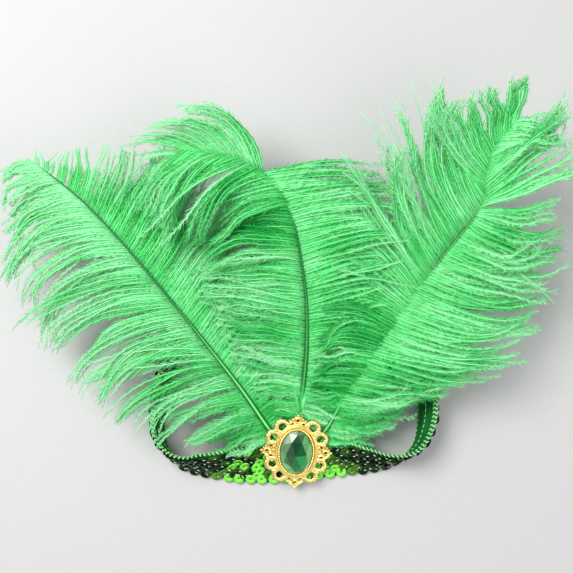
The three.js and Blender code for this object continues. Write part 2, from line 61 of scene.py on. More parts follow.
# Plumes: quill points, and barb rows of share, length in mm, then root, bend, tip, lift, droop in degrees
PLUMES = {
    "feather_left": {
        "quill": [
            (-5, 7.3, 8.1), (-16.4, 22.9, 11.4), (-30.8, 44.4, 16), (-55.9, 77.5, 22.5),
            (-84.9, 113.8, 29.5), (-108.6, 140.1, 35), (-127.2, 155.8, 39), (-137.7, 163.2, 41),
        ],
        "left": [
            (0.05, 24, 68, 8, 0, 12, 24), (0.12, 36, 72, 14, 0, 15, 24),
            (0.22, 57, 62, 30, 0, 18, 24), (0.33, 67, 55, 46, 0, 15, 30),
            (0.45, 68, 53, 58, 0, 11, 34), (0.60, 69, 50, 70, 10, 9, 30),
            (0.75, 64, 47, 70, 10, 8, 30), (0.88, 35, 44, 62, 0, 6, 25),
            (0.96, 22, 35, 50, 0, 4, 15), (1.0, 14, 14, 24, 0, 0, 5),
        ],
        "right": [
            (0.05, 12, 75, 20, 0, 0, 10), (0.12, 20, 75, 10, 0, -3, 5),
            (0.30, 36, 74, 0, 0, -3, 0), (0.50, 53, 72, -4, 0, -2, 0),
            (0.68, 52, 72, -4, 0, -3, -4), (0.85, 27, 68, -6, 0, 0, -10),
            (0.93, 11, 62, -6, 0, 2, -10), (1.0, 4, 25, 0, 0, 0, 0),
        ],
    },
    "feather_centre": {
        "quill": [
            (-0.6, 9, 8.4), (3.1, 39.2, 14.8), (5.4, 66.7, 20.5), (4.6, 96, 26.5),
            (-1.2, 130.1, 34.5), (-7.1, 144.1, 39), (-14.6, 153.8, 43), (-24.6, 159.8, 47),
            (-38.8, 164.4, 51), (-53.3, 165.8, 50), (-64.9, 163.5, 46),
        ],
        "left": [
            (0.06, 14, 95, 20, 0, -12, 0), (0.18, 34, 84, 10, 0, 2, 6),
            (0.35, 48, 76, 12, 0, 12, 12), (0.50, 50, 72, 30, 0, 11, 16),
            (0.60, 48, 66, 70, 0, 8, 24), (0.70, 50, 58, 90, 0, 6, 30),
            (0.80, 58, 48, 62, 0, 4, 30), (0.90, 48, 36, 50, 0, 2, 26),
            (1.0, 24, 10, 20, 0, 0, 10),
        ],
        "right": [
            (0.06, 18, 95, 20, 0, 0, 10), (0.18, 38, 84, 10, 0, -4, 2),
            (0.26, 50, 80, 9, 0, 0, 4), (0.35, 60, 78, 8, 0, 6, 4), (0.50, 64, 74, 26, 0, 9, 6),
            (0.62, 62, 93, 32, -4, 5, 8), (0.70, 63, 115, 20, -12, 0, 8),
            (0.7549, 67, 132, 15, -16, 0, 6), (0.7551, 48, 45, -82, 0, 4, 6),
            (0.85, 44, 40, -68, 0, 4, 10), (0.93, 34, 27, -32, 0, 2, 14),
            (1.0, 20, 8, -10, 0, 0, 10),
        ],
    },
    "feather_right": {
        "quill": [
            (3.7, 7.3, 8.1), (15.7, 19.8, 10.7), (26.2, 38.4, 15.5), (46.6, 69.7, 25),
            (73.6, 111.7, 38), (92, 136.8, 47), (94.2, 151.8, 51), (96, 163.4, 55),
            (101.1, 171.6, 58.5), (108.2, 181.4, 62),
        ],
        "left": [
            (0.05, 12, 85, 20, 0, 4, 10), (0.15, 18, 100, 40, 0, 8, 8),
            (0.24, 25, 106, 44, 0, 9, 6), (0.34, 32, 102, 40, 0, 7, 6), (0.42, 44, 92, 32, 0, -4, 0),
            (0.50, 54, 76, 10, 0, -6, 0), (0.55, 64, 66, -22, -6, 6, 2),
            (0.65, 66, 72, -32, 0, 8, -4), (0.72, 64, 70, -36, 0, 6, -8),
            (0.78, 58, 50, -26, 0, 6, -10), (0.87, 37, 40, -18, 0, 4, -10),
            (0.94, 26, 34, -6, 0, 4, -10), (1.0, 16, 16, 0, 0, 0, 0),
        ],
        "right": [
            (0.05, 26, 58, -10, 0, 12, 22), (0.12, 39, 67, -26, -10, 15, 22),
            (0.22, 53, 65, -26, -16, 15, 20), (0.38, 67, 78, -30, -16, 10, 18),
            (0.55, 58, 82, -34, -16, 6, 16), (0.66, 49, 82, -36, -12, 4, 14),
            (0.72, 42, 92, -42, -10, 4, 12), (0.7599, 36, 66, -26, -10, 4, 8),
            (0.7601, 55, 45, -6, 0, 6, 0),
            (0.83, 50, 45, -4, 0, 6, 0), (0.90, 33, 50, 0, 0, 4, 2),
            (0.95, 22, 56, 0, 0, 2, 0), (1.0, 15, 24, 0, 0, 0, 0),
        ],
    },
}

# Radii of a quill at shares along it
QUILL_SHARES = (0.0, 0.3, 0.5, 0.75, 1.0)
QUILL_RADII = (1.3, 1.1, 0.75, 0.5, 0.3)

# Vanes: paler is painted glare that grows towards the tip; ruffled and bare are two shares of the quill,
# with a change of shade, which is painted shade, and a share of barbs left out
VANES = {
    "feather_left_vane_left": {"full": 0.2, "paler": 0.40, "ruffled": (0.05, 0.42, -0.04)},
    "feather_left_vane_right": {"full": 0.6, "paler": 0.02, "bare": (0.76, 1.1, 0.45)},
    "feather_centre_vane_left": {"full": 0.7, "paler": 0.16, "ruffled": (0.56, 0.9, -0.18)},
    "feather_centre_vane_right": {"full": 0.85, "paler": 0.17, "bare": (0.8, 1.1, 0.35), "parting": 0.755},
    "feather_right_vane_left": {"full": 0.75, "paler": 0.0, "ruffled": (0.14, 0.42, -0.24)},
    "feather_right_vane_right": {"full": 1.0, "paler": 0.08, "parting": 0.76},
}

# Single wisps that come out from under a vane, as rows of barbs
WISPS = {
    "feather_right_vane_left": [
        (0.57, 80, 46, 14, 0, -6, -14), (0.58, 90, 44, 34, 0, -6, -14), (0.59, 86, 42, 28, 0, -6, -14),
        (0.60, 82, 44, 12, 0, -6, -14), (0.61, 86, 43, 20, 0, -6, -14), (0.62, 90, 40, 16, 0, -6, -14),
        (0.64, 88, 36, 14, 10, -6, -14),
    ],
    "feather_right_vane_right": [
        (0.62, 60, 58, 44, 0, -5, -22), (0.63, 62, 60, 44, 0, -5, -22), (0.64, 58, 62, 40, 0, -5, -22),
        (0.745, 38, 84, 32, 0, -4, -22), (0.755, 37, 82, 30, 0, -4, -22),
    ],
}

# Shares of a quill between which barbs hide it
QUILL_HIDDEN = {
    "feather_left": [(0.97, 1.1)],
    "feather_centre": [(-0.1, 0.15), (0.62, 1.1)],
    "feather_right": [(0.16, 0.56), (0.76, 1.1)],
}

# Strength of a quill's pale stripe, a painted highlight along its top, at its root, at 0.3 and from 0.5 on
QUILL_STRIPES = {
    "feather_left": (1.0, 0.7, 0.35),
    "feather_centre": (0.55, 0.45, 0.3),
    "feather_right": (0.8, 0.6, 0.6),
}

# Steps along a quill's line, a barb and a down barb, and points along a barb's ridge and its web
QUILL_STEPS = 240
BARB_STEPS = 16
DOWN_STEPS = 12
RIDGE_POINTS = 10
WEB_POINTS = 8

# Lowest heights of a barb and of a barbule's tip
LOWEST_BARB = 2.0
LOWEST_BARBULE = 1.0

# Spread of each kind of change: length factor, then root, bend, lift, droop and tip in degrees
LOCK_SPREAD = (0.055, 1.5, 6.5, 2.2, 4.0, 13.0)
BARB_SPREAD = (0.08, 1.2, 2.5, 1.2, 2.0, 9.0)
STRAY_SPREAD = (0.128, 6.4, 16.0, 4.8, 8.0, 28.8)
SWIRL_SPREAD = (0.05, 3.0, 11.0, 2.5, 5.0, 20.0)
FLUFF_SPREAD = (0.12, 9.0, 20.0, 6.0, 8.0, 20.0)

# Changes of a barb that keeps the values of its row
UNCHANGED = (1.0, 0.0, 0.0, 0.0, 0.0, 0.0)

# How much stouter a wisp's ridge is than a barb's
WISP_STOUTNESS = 1.4

# Down: its patch's middle, half sizes and height, its rise over the centre root, and where it fans from
DOWN_MIDDLE = (0.5, 22.5)
DOWN_HALF = (25.0, 10.0)
DOWN_HEIGHT = 7.4
CENTRE_RISE = 6.8
DOWN_FAN = (0.5, 17.0)

# Seeds of the first left and right vanes, the down and the sequins, and what a vane's seat adds to its own
VANE_SEEDS = {"left": 11, "right": 21}
DOWN_SEED = 31
SEQUIN_SEED = 5
SEAT_SEED = 100

# Stitches: the height of the band's middle line, and how many make an inside cord and the braid
BAND_MIDDLE = 11.0
CORD_STITCHES = 150
BRAID_STITCHES = 190

# Inside cords: share of the band's width and radius, the length of a dash, and how far it rises and bows
CORDS = [(0.09, 0.45), (0.5, 0.38)]
CORD_DASH = 3.5
CORD_BOW = 0.15

# Braid: height over the band's upper edge and depth at the ends of its dashes, their radius and slant in mm
BRAID_ENDS = [(-2.7, -0.2), (-1.0, -0.45), (0.45, 0.5), (-0.7, 1.5)]
BRAID_RADIUS = 0.5
BRAID_SLANT = 2.1

# Sequin: its section as share of the radius and height, its depth out of the wall, and its thread's colour
SEQUIN_RINGS = [(0.15, 0.0), (0.6, 0.0), (1.0, 0.0), (1.0, -0.1), (0.15, -0.1)]
SEQUIN_DEPTH = 1.75
SEQUIN_THREAD = (0.72, 0.95, 0.72)

# Tints of dark, olive and lime sequins, and the tint below which a thread dash shows
DARK_TINT = 0.05
OLIVE_TINT = 0.5
LIME_TINT = 0.95
DASHED_BELOW = 0.62

# Brooch: its place on the band, the stone's half sizes, the height of its base and the middle of its table
BROOCH_TILT = np.radians(12)
BROOCH_TURN = np.radians(-3)
BROOCH_FOOT = np.array([0.0, -10.2, 0.0])
BROOCH_PLACE = np.array([0.0, 20.3, 5.9])
STONE_HALF = np.array([8.65, 12.4])
STONE_BASE = 1.5
TABLE_MIDDLE = (-0.4, -1.2, 4.4)

# Setting's plate: half sizes, and its section as scale and height
PLATE_HALF = (11.4, 14.8)
PLATE_PROFILE = [(0.1, 0.0), (0.97, 0.0), (1.0, 0.25), (1.0, 0.95), (0.97, 1.2), (0.1, 1.2)]

# Ridges round the stone: margin outside it, height, radius, ripple, waves, twist and relief, which paints
# low work in the painted shade of a recess and raised work gold
BEZEL_RIDGES = [
    (0.75, 2.0, 0.62, 0.22, 58, 0, 1.0),
    (0.75, 2.9, 0.42, 0.45, 58, 0, 0.9),
    (2.05, 1.7, 0.60, 0.06, 92, 1, 0.9),
    (3.05, 1.3, 0.45, 0.20, 104, 1, 0.7),
]

# Places in one quarter of the setting: its loops, and the beads that join them, with their radii
LOOP_PLACES = [(8.3, 13.7), (12.7, 7.5)]
JOIN_BEADS = [(11.9, 11.7, 1.3), (10.0, 9.9, 1.2), (5.4, 15.6, 1.2), (14.1, 4.2, 1.2)]

# Lobes of the setting: how far out the upright and the level ones start, and half width by place outwards
LOBE_EDGES = (14.6, 12.8)
LOBE_HALF_WIDTHS = ([-1.6, 0, 1.2, 2.6, 3.8, 4.9, 6.0], [5.8, 5.9, 5.6, 4.3, 2.8, 1.6, 0.5])

# Holes of a lobe: places across it and outwards, and their radius
LOBE_HOLES = np.array([(-2.9, 0.9), (2.9, 0.9), (0.0, 3.2)])
LOBE_HOLE = 0.72

# Beads along half of a lobe's edge: place across and outwards, and radius
LOBE_BEADS = [
    (0.0, 6.2, 0.85), (1.6, 5.0, 0.62), (2.9, 3.9, 0.62),
    (4.3, 2.8, 0.66), (5.5, 1.5, 0.66), (5.9, 0.2, 0.60),
]

# Facet colours by sixths of a turn from the right: star, two kite sides, two low ones, wedge of the table;
# their lighter and darker greens are painted reflections
STONE_TINTS = [
    (
        (0.10, 0.30, 0.10), (0.30, 0.58, 0.26), (0.16, 0.36, 0.15),
        (0.26, 0.52, 0.23), (0.10, 0.24, 0.10), (0.008, 0.07, 0.024),
    ), (
        (0.012, 0.06, 0.02), (0.05, 0.12, 0.05), (0.58, 0.68, 0.55),
        (0.12, 0.22, 0.12), (0.30, 0.40, 0.28), (0.004, 0.035, 0.012),
    ), (
        (0.12, 0.22, 0.12), (0.34, 0.44, 0.32), (0.12, 0.22, 0.12),
        (0.22, 0.32, 0.20), (0.14, 0.26, 0.13), (0.03, 0.06, 0.032),
    ), (
        (0.06, 0.15, 0.06), (0.14, 0.32, 0.13), (0.24, 0.52, 0.21),
        (0.18, 0.42, 0.16), (0.28, 0.58, 0.24), (0.04, 0.08, 0.042),
    ), (
        (0.04, 0.18, 0.055), (0.16, 0.42, 0.15), (0.08, 0.26, 0.08),
        (0.30, 0.58, 0.26), (0.20, 0.46, 0.18), (0.016, 0.15, 0.04),
    ), (
        (0.05, 0.32, 0.09), (0.08, 0.34, 0.10), (0.26, 0.56, 0.23),
        (0.62, 0.74, 0.56), (0.28, 0.56, 0.24), (0.025, 0.24, 0.065),
    ),
]
# Colour of the stone's walls and base
GIRDLE_TINT = (0.10, 0.26, 0.13)

# Stage: half the floor, the sky, the camera's place over the floor and its sensor in millimetres
FLOOR_HALF = 2.5
SKY_COLOUR = (0.95, 0.97, 1.0, 1.0)
SKY_STRENGTH = 0.5
CAMERA_PLACE = (0.0032, 0.00754)
SENSOR_WIDTH = 36

# Lights: name, place, size and the setting with its power
LIGHTS = [
    ("key_light", (-0.35, 0.30, 0.75), 0.45, "key_power"),
    ("fill_light", (0.55, -0.35, 0.70), 0.80, "fill_power"),
]


def unit(vectors):
    """Each vector divided by its own length."""
    return vectors / np.linalg.norm(vectors, axis=-1, keepdims=True)


def ease(value):
    """Smooth step: zero below 0, one above 1, three v squared less two v cubed between."""
    value = np.clip(value, 0, 1)
    return value * value * (3 - 2 * value)


def bell(value, width):
    """Bell curve: e to the power of minus the square of value over width."""
    return np.exp(-((value / width) ** 2))


def turns(count):
    """Angles of equal steps round a full turn, from 0."""
    return np.arange(count) * 2 * np.pi / count


def grid_corners(rows, columns, wrap_rows, wrap_columns):
    """Row and column numbers of each quad's four corners on a grid; at a wrap they run on past the last."""
    row = np.arange(rows if wrap_rows else rows - 1)
    column = np.arange(columns if wrap_columns else columns - 1)
    row, column = (part.ravel() for part in np.meshgrid(row, column, indexing="ij"))
    row = np.stack([row, row + 1, row + 1, row], -1)
    return row, np.stack([column, column, column + 1, column + 1], -1)


def grid_faces(rows, columns, wrap_rows=False, wrap_columns=False):
    """Quads of a grid of points numbered row by row; a wrapped side joins its last line to its first."""
    row, column = grid_corners(rows, columns, wrap_rows, wrap_columns)
    return row % rows * columns + column % columns


def wrapped_uv(rows, columns):
    """Corner places on the unit square for a grid wrapped both ways, in grid_faces' order, with no seam."""
    row, column = grid_corners(rows, columns, True, True)
    return np.stack([row / rows, column / columns], -1)


def end_faces(rings, sides):
    """Flat ends of a tube of rings: its first ring, and its last one turned round."""
    ring = np.arange(sides)
    return np.stack([ring, ring[::-1] + (rings - 1) * sides])


def repeat_faces(faces, copies, points_each):
    """One shape's faces for many copies, each copy's points numbered after the last one's."""
    starts = np.arange(copies) * points_each
    return (faces[None] + starts[:, None, None]).reshape(-1, faces.shape[1])


def open_edges(faces):
    """Edges that only one of some faces has, each in the direction of its face."""
    edges = np.stack([faces, np.roll(faces, -1, axis=1)], -1).reshape(-1, 2)
    key = edges.min(axis=1) * (faces.max() + 1) + edges.max(axis=1)
    owner, uses = np.unique(key, return_inverse=True, return_counts=True)[1:]
    return edges[uses[owner.ravel()] == 1]


def signed_volume(points, faces):
    """Sum over the faces' fan triangles of a sixth of the triple product of the corners."""
    total = 0.0
    for corner in range(1, faces.shape[1] - 1):
        a = points[faces[:, 0]]
        b = points[faces[:, corner]]
        c = points[faces[:, corner + 1]]
        total += np.einsum("ij,ij->i", a, np.cross(b, c)).sum() / 6
    return total


class Shape:
    """One mesh's points, faces and point values, gathered from closed surfaces in millimetres."""

    def __init__(self):
        self.points = []
        self.faces = []
        self.values = {}
        self.corners = []
        self.count = 0

    def add(self, points, *faces, uv=None, **values):
        """Adds closed surfaces; their faces are turned round together where they point inwards."""
        points = np.asarray(points, float).reshape(-1, 3)
        middle = points.mean(axis=0)
        inside_out = sum(signed_volume(points - middle, part) for part in faces) < 0
        self.points.append(points)
        for part in faces:
            self.faces.append((part[:, ::-1] if inside_out else part) + self.count)
        if uv is not None:
            self.corners.append((uv[:, ::-1] if inside_out else uv).reshape(-1, 2))
        for name, value in values.items():
            filled = np.asarray(value, float)
            filled = np.full(len(points), filled) if filled.ndim == 0 else filled.ravel()
            self.values.setdefault(name, []).append(filled)
        self.count += len(points)

    def piece(self, name, material, slot, stands_for=None, smooth=True):
        """Makes the mesh object in metres in the part's frame, riding on the root body."""
        mesh = bpy.data.meshes.new(name)
        points = (np.concatenate(self.points) + WORK_SHIFT) * MM
        sizes = np.concatenate([np.full(len(part), part.shape[1]) for part in self.faces])
        loops = np.concatenate([part.ravel() for part in self.faces])
        mesh.vertices.add(len(points))
        mesh.vertices.foreach_set("co", points.astype(np.float32).ravel())
        mesh.loops.add(len(loops))
        mesh.loops.foreach_set("vertex_index", loops.astype(np.int32))
        mesh.polygons.add(len(sizes))
        mesh.polygons.foreach_set("loop_start", (np.cumsum(sizes) - sizes).astype(np.int32))
        mesh.polygons.foreach_set("use_smooth", np.full(len(sizes), smooth))
        for key, parts in self.values.items():
            attribute = mesh.attributes.new(key, "FLOAT", "POINT")
            attribute.data.foreach_set("value", np.concatenate(parts).astype(np.float32))
        if self.corners:
            layer = mesh.uv_layers.new(name="UVMap")
            layer.data.foreach_set("uv", np.concatenate(self.corners).astype(np.float32).ravel())
        mesh.update(calc_edges=True)
        if mesh.validate():
            raise RuntimeError(name + ": some faces had to be corrected")
        mesh.materials.append(material)
        made = bpy.data.objects.new(name, mesh)
        bpy.context.scene.collection.objects.link(made)
        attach(made, "root")
        if stands_for:
            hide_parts(stands_for)
        return made


class Wire:
    """A node's output that arithmetic works on: each sign adds one Math node."""

    def __init__(self, paint, socket):
        self.paint = paint
        self.socket = socket

    def other(self, output):
        """Another output of the same node."""
        return Wire(self.paint, self.socket.node.outputs[output])

    def math(self, operation, first, second):
        return self.paint.node("ShaderNodeMath", {"operation": operation}, {0: first, 1: second})

    def __add__(self, other):
        return self.math("ADD", self, other)

    def __radd__(self, other):
        return self.math("ADD", other, self)

    def __sub__(self, other):
        return self.math("SUBTRACT", self, other)

    def __rsub__(self, other):
        return self.math("SUBTRACT", other, self)

    def __mul__(self, other):
        return self.math("MULTIPLY", self, other)

    def __rmul__(self, other):
        return self.math("MULTIPLY", other, self)


class Paint:
    """A material with one Principled shader, whose sockets take numbers, colours or wires."""

    def __init__(self, name):
        self.material = bpy.data.materials.new(name)
        self.material.use_nodes = True
        self.tree = self.material.node_tree
        self.tree.nodes.clear()
        self.shader = self.tree.nodes.new("ShaderNodeBsdfPrincipled")
        output = self.tree.nodes.new("ShaderNodeOutputMaterial")
        self.tree.links.new(self.shader.outputs[0], output.inputs[0])

    def node(self, kind, settings, inputs, output=0):
        """Adds a node: its settings first (stops fill a ramp), then the values or wires of its inputs."""
        made = self.tree.nodes.new(kind)
        for key, value in settings.items():
            if key == "stops":
                self.fill_ramp(made.color_ramp, value)
            else:
                setattr(made, key, value)
        for key, value in inputs.items():
            self.feed(made.inputs[key], value)
        return Wire(self, made.outputs[output])

    def fill_ramp(self, ramp, stops):
        while len(ramp.elements) < len(stops):
            ramp.elements.new(1.0)
        for element, (place, colour) in zip(ramp.elements, stops):
            element.position = place
            element.color = (*colour, 1.0)

    def feed(self, socket, value):
        if isinstance(value, Wire):
            self.tree.links.new(value.socket, socket)
        else:
            socket.default_value = value

    def set(self, **values):
        """Sets the shader's sockets; an underscore in a name stands for a space."""
        for key, value in values.items():
            self.feed(self.shader.inputs[key.replace("_", " ")], value)
        return self.material

    def attribute(self, name, output=2):
        return self.node("ShaderNodeAttribute", {"attribute_name": name}, {}, output)

    def place(self):
        return self.node("ShaderNodeTexCoord", {}, {}, 3)

    def uv(self):
        return self.node("ShaderNodeTexCoord", {}, {}, 2)

    def sine(self, value):
        return self.node("ShaderNodeMath", {"operation": "SINE"}, {0: value})

    def noise(self, scale, detail=2.0):
        """Cloudy noise on Object coordinates."""
        inputs = {"Vector": self.place(), "Scale": scale, "Detail": detail}
        return self.node("ShaderNodeTexNoise", {}, inputs)

    def ramp(self, value, stops):
        return self.node("ShaderNodeValToRGB", {"stops": stops}, {"Fac": value})

    def mix(self, share, first, second, blend="MIX"):
        """Mixes two colours by a share."""
        first, second = (end if isinstance(end, Wire) else (*end, 1.0) for end in (first, second))
        settings = {"data_type": "RGBA", "blend_type": blend}
        return self.node("ShaderNodeMix", settings, {0: share, 6: first, 7: second}, 2)

    def bump(self, height, strength, distance):
        inputs = {"Height": height, "Strength": strength, "Distance": distance}
        return self.node("ShaderNodeBump", {}, inputs)


def loop_at(share):
    """Point (x, y, lean) and travel of the band's loop at shares of it: a closed Catmull-Rom spline
    of cubic pieces, whose tangents weigh each chord by the square root of its length."""
    rows = BAND_LOOP / np.array([1, 1, LEAN_PER_MM])
    before, after, beyond = (np.roll(rows, step, axis=0) for step in (1, -1, -2))
    reach0, reach1, reach2 = (
        np.sqrt(np.linalg.norm(b - a, axis=1, keepdims=True))
        for a, b in ((before, rows), (rows, after), (after, beyond))
    )
    start = (rows - before) / reach0 - (after - before) / (reach0 + reach1) + (after - rows) / reach1
    end = (after - rows) / reach1 - (beyond - rows) / (reach1 + reach2) + (beyond - after) / reach2
    start, end = start * reach1, end * reach1
    square = 3 * (after - rows) - 2 * start - end
    cube = 2 * (rows - after) + start + end
    place = np.mod(np.asarray(share, float), 1.0) * len(rows)
    piece = np.minimum(place.astype(int), len(rows) - 1)
    u = (place - piece)[..., None]
    point = rows[piece] + u * (start[piece] + u * (square[piece] + u * cube[piece]))
    travel = start[piece] + u * (2 * square[piece] + 3 * u * cube[piece])
    return point, travel


def band_point(share, height, depth):
    """Point of the band at a share of the loop, a height up its wall and a depth out of it: the wall
    stands on the loop and leans inwards by the loop's lean; nothing goes under the table."""
    share, height, depth = np.broadcast_arrays(*(np.asarray(v, float) for v in (share, height, depth)))
    point, travel = loop_at(share)
    lean = np.radians(point[..., 2] * LEAN_PER_MM)
    inward = unit(np.stack([-travel[..., 1], travel[..., 0], np.zeros_like(lean)], -1))
    along = np.maximum(height, -depth * np.tan(lean))
    level = along * np.sin(lean) - depth * np.cos(lean)
    rise = along * np.cos(lean) + depth * np.sin(lean)
    foot = np.stack([point[..., 0], point[..., 1], np.zeros_like(lean)], -1)
    return foot + inward * level[..., None] + UP * rise[..., None]


def band_frame(share, height, depth):
    """Unit vectors along the band, up its wall and out of its face, from small steps on band_point."""
    step = 0.0005
    along = unit(band_point(share + step, height, depth) - band_point(share - step, height, depth))
    up = unit(band_point(share, height + 0.5, depth) - band_point(share, height, depth))
    out = unit(np.cross(along, up))
    return along, np.cross(out, along), out


def length_along(line):
    """Length of a line of points from its start to each point."""
    return np.concatenate([[0], np.cumsum(np.linalg.norm(np.diff(line, axis=0), axis=1))])


def shares_by_length(count, height):
    """Shares of the loop at equal lengths along the band at a height, from the front, and its length."""
    dense = np.linspace(0, 1, 1601)
    length = length_along(band_point(dense, height, 1.0))
    return np.interp(np.arange(count) / count * length[-1], length, dense), length[-1]


def spline(points, count):
    """Open Catmull-Rom curve, with both ends carried on in a line, at places spaced by equal lengths."""
    rows = np.asarray(points, float)
    rows = np.concatenate([[2 * rows[0] - rows[1]], rows, [2 * rows[-1] - rows[-2]]])
    place = np.linspace(0, len(points) - 1, 40 * len(points))
    piece = np.minimum(place.astype(int), len(points) - 2)
    u = (place - piece)[:, None]
    p0, p1, p2, p3 = (rows[piece + k] for k in range(4))
    start = 0.5 * (p2 - p0)
    end = 0.5 * (p3 - p1)
    line = p1 + u * (start + u * ((3 * (p2 - p1) - 2 * start - end) + u * (2 * (p1 - p2) + start + end)))
    length = length_along(line)
    even = np.linspace(0, length[-1], count)
    return np.stack([np.interp(even, length, line[:, axis]) for axis in range(3)], -1)


def line_at(line, share):
    """Points of an evenly spaced line, or of one line per row, at shares of it."""
    place = np.clip(share, 0, 1) * (line.shape[-2] - 1)
    piece = np.minimum(place.astype(int), line.shape[-2] - 2)
    u = (place - piece)[..., None]
    if line.ndim == 2:
        return line[piece] * (1 - u) + line[piece + 1] * u
    row = np.arange(len(line))[:, None]
    return line[row, piece] * (1 - u) + line[row, piece + 1] * u


def tubes(paths, radius, upward, corners=3, flat=0.6):
    """Tubes along many paths at once: a flattened ring of corners round each point, in the plane
    square to the path, its first corner towards upward. Returns points, side faces and end faces."""
    along = unit(np.gradient(paths, axis=-2))
    across = unit(np.cross(upward, along))
    over = np.cross(along, across)
    angle = (np.pi / 2 + turns(corners))[:, None]
    ring = np.cos(angle) * across[..., None, :] + flat * np.sin(angle) * over[..., None, :]
    points = paths[..., None, :] + radius[..., None, None] * ring
    copies, steps = paths.shape[:2]
    sides = repeat_faces(grid_faces(steps, corners, wrap_columns=True), copies, steps * corners)
    return points, sides, repeat_faces(end_faces(steps, corners), copies, steps * corners)


def spikes(base, tip, radius):
    """Thin four-sided needles: three points round the base, square to the needle, and one at the tip."""
    along = unit(tip - base)
    across = unit(np.cross(along, UP + 0.01))
    over = np.cross(along, across)
    angle = turns(3)[:, None]
    ring = np.cos(angle) * across[:, None] + np.sin(angle) * over[:, None]
    points = np.concatenate([base[:, None] + radius * ring, tip[:, None]], axis=1)
    faces = np.array([(0, 2, 1), (0, 1, 3), (1, 2, 3), (2, 0, 3)])
    return points, repeat_faces(faces, len(base), 4)


def quill_frame(line, share):
    """Place on a quill and its unit vectors: along it, across it to the right, and up."""
    place = line_at(line, share)
    along = unit(line_at(line, share + 0.01) - line_at(line, share - 0.01))
    up = unit(UP - along * along[..., 2:3])
    return place, along, np.cross(along, up), up


def within(share, low, high):
    """One between two shares and zero outside them, with soft ends."""
    soft = 0.1
    return ease((share - low) / soft + 0.5) * ease((high - share) / soft + 0.5)


def quill_hidden(plume, share):
    """How far barbs hide a quill at shares along it, from 0 to 1."""
    return sum(within(share, low, high) for low, high in QUILL_HIDDEN[plume])


def barb_paths(line, rows, side, at, nudge, seat):
    """Paths of barbs rooted on the side of a quill: the heading turns away from the quill by
    root + bend q^1.3 + tip q^4 and climbs by lift - droop q^1.5, and is summed up along the barb.
    nudge holds each barb's changes: length factor, then root, bend, lift, droop and tip in degrees.
    seat holds how far beside and above the quill's middle a barb is rooted, in quill radii."""
    rows = np.asarray(rows, float)
    columns = [np.interp(at, rows[:, 0], rows[:, k]) for k in range(1, 7)]
    length, root, bend, tip, lift, droop = (column[:, None] for column in columns)
    change = nudge[:, :, None]
    length = length * change[:, 0]
    q = (np.arange(BARB_STEPS) + 0.5) / BARB_STEPS
    turn = np.radians(root + change[:, 1] + (bend + change[:, 2]) * q**1.3 + (tip + change[:, 5]) * q**4)
    rise = np.radians(lift + change[:, 3] - (droop + change[:, 4]) * q**1.5)
    place, along, across, up = (part[:, None, :] for part in quill_frame(line, at))
    radius = np.interp(at, QUILL_SHARES, QUILL_RADII)[:, None, None]
    beside, above = (part[:, None, None] for part in seat)
    place = place + radius * (above * up + side * beside * across)
    heading = (
        (np.cos(rise) * np.cos(turn))[..., None] * along
        + (side * np.cos(rise) * np.sin(turn))[..., None] * across
        + np.sin(rise)[..., None] * up
    )
    walk = np.cumsum(heading * (length / BARB_STEPS)[..., None], axis=1)
    return place + np.concatenate([np.zeros_like(place), walk], axis=1), up


def barb_frame(paths, up):
    """Unit vectors along each barb, across it, and over both."""
    along = unit(np.gradient(paths, axis=1))
    across = unit(np.cross(along, np.broadcast_to(up, along.shape)))
    return along, across, np.cross(across, along)


def gather_tips(paths, group, strength, start):
    """Draws the barbs of each group together towards their mean path, more towards the tips."""
    count = group.max() + 1
    total = np.zeros((count,) + paths.shape[1:])
    np.add.at(total, group, paths)
    mean = total / np.maximum(np.bincount(group, minlength=count), 1)[:, None, None]
    q = np.linspace(0, 1, paths.shape[1])
    pull = strength[:, None] * ease((q - start) / (1 - start))
    return paths + (mean[group] - paths) * pull[..., None]


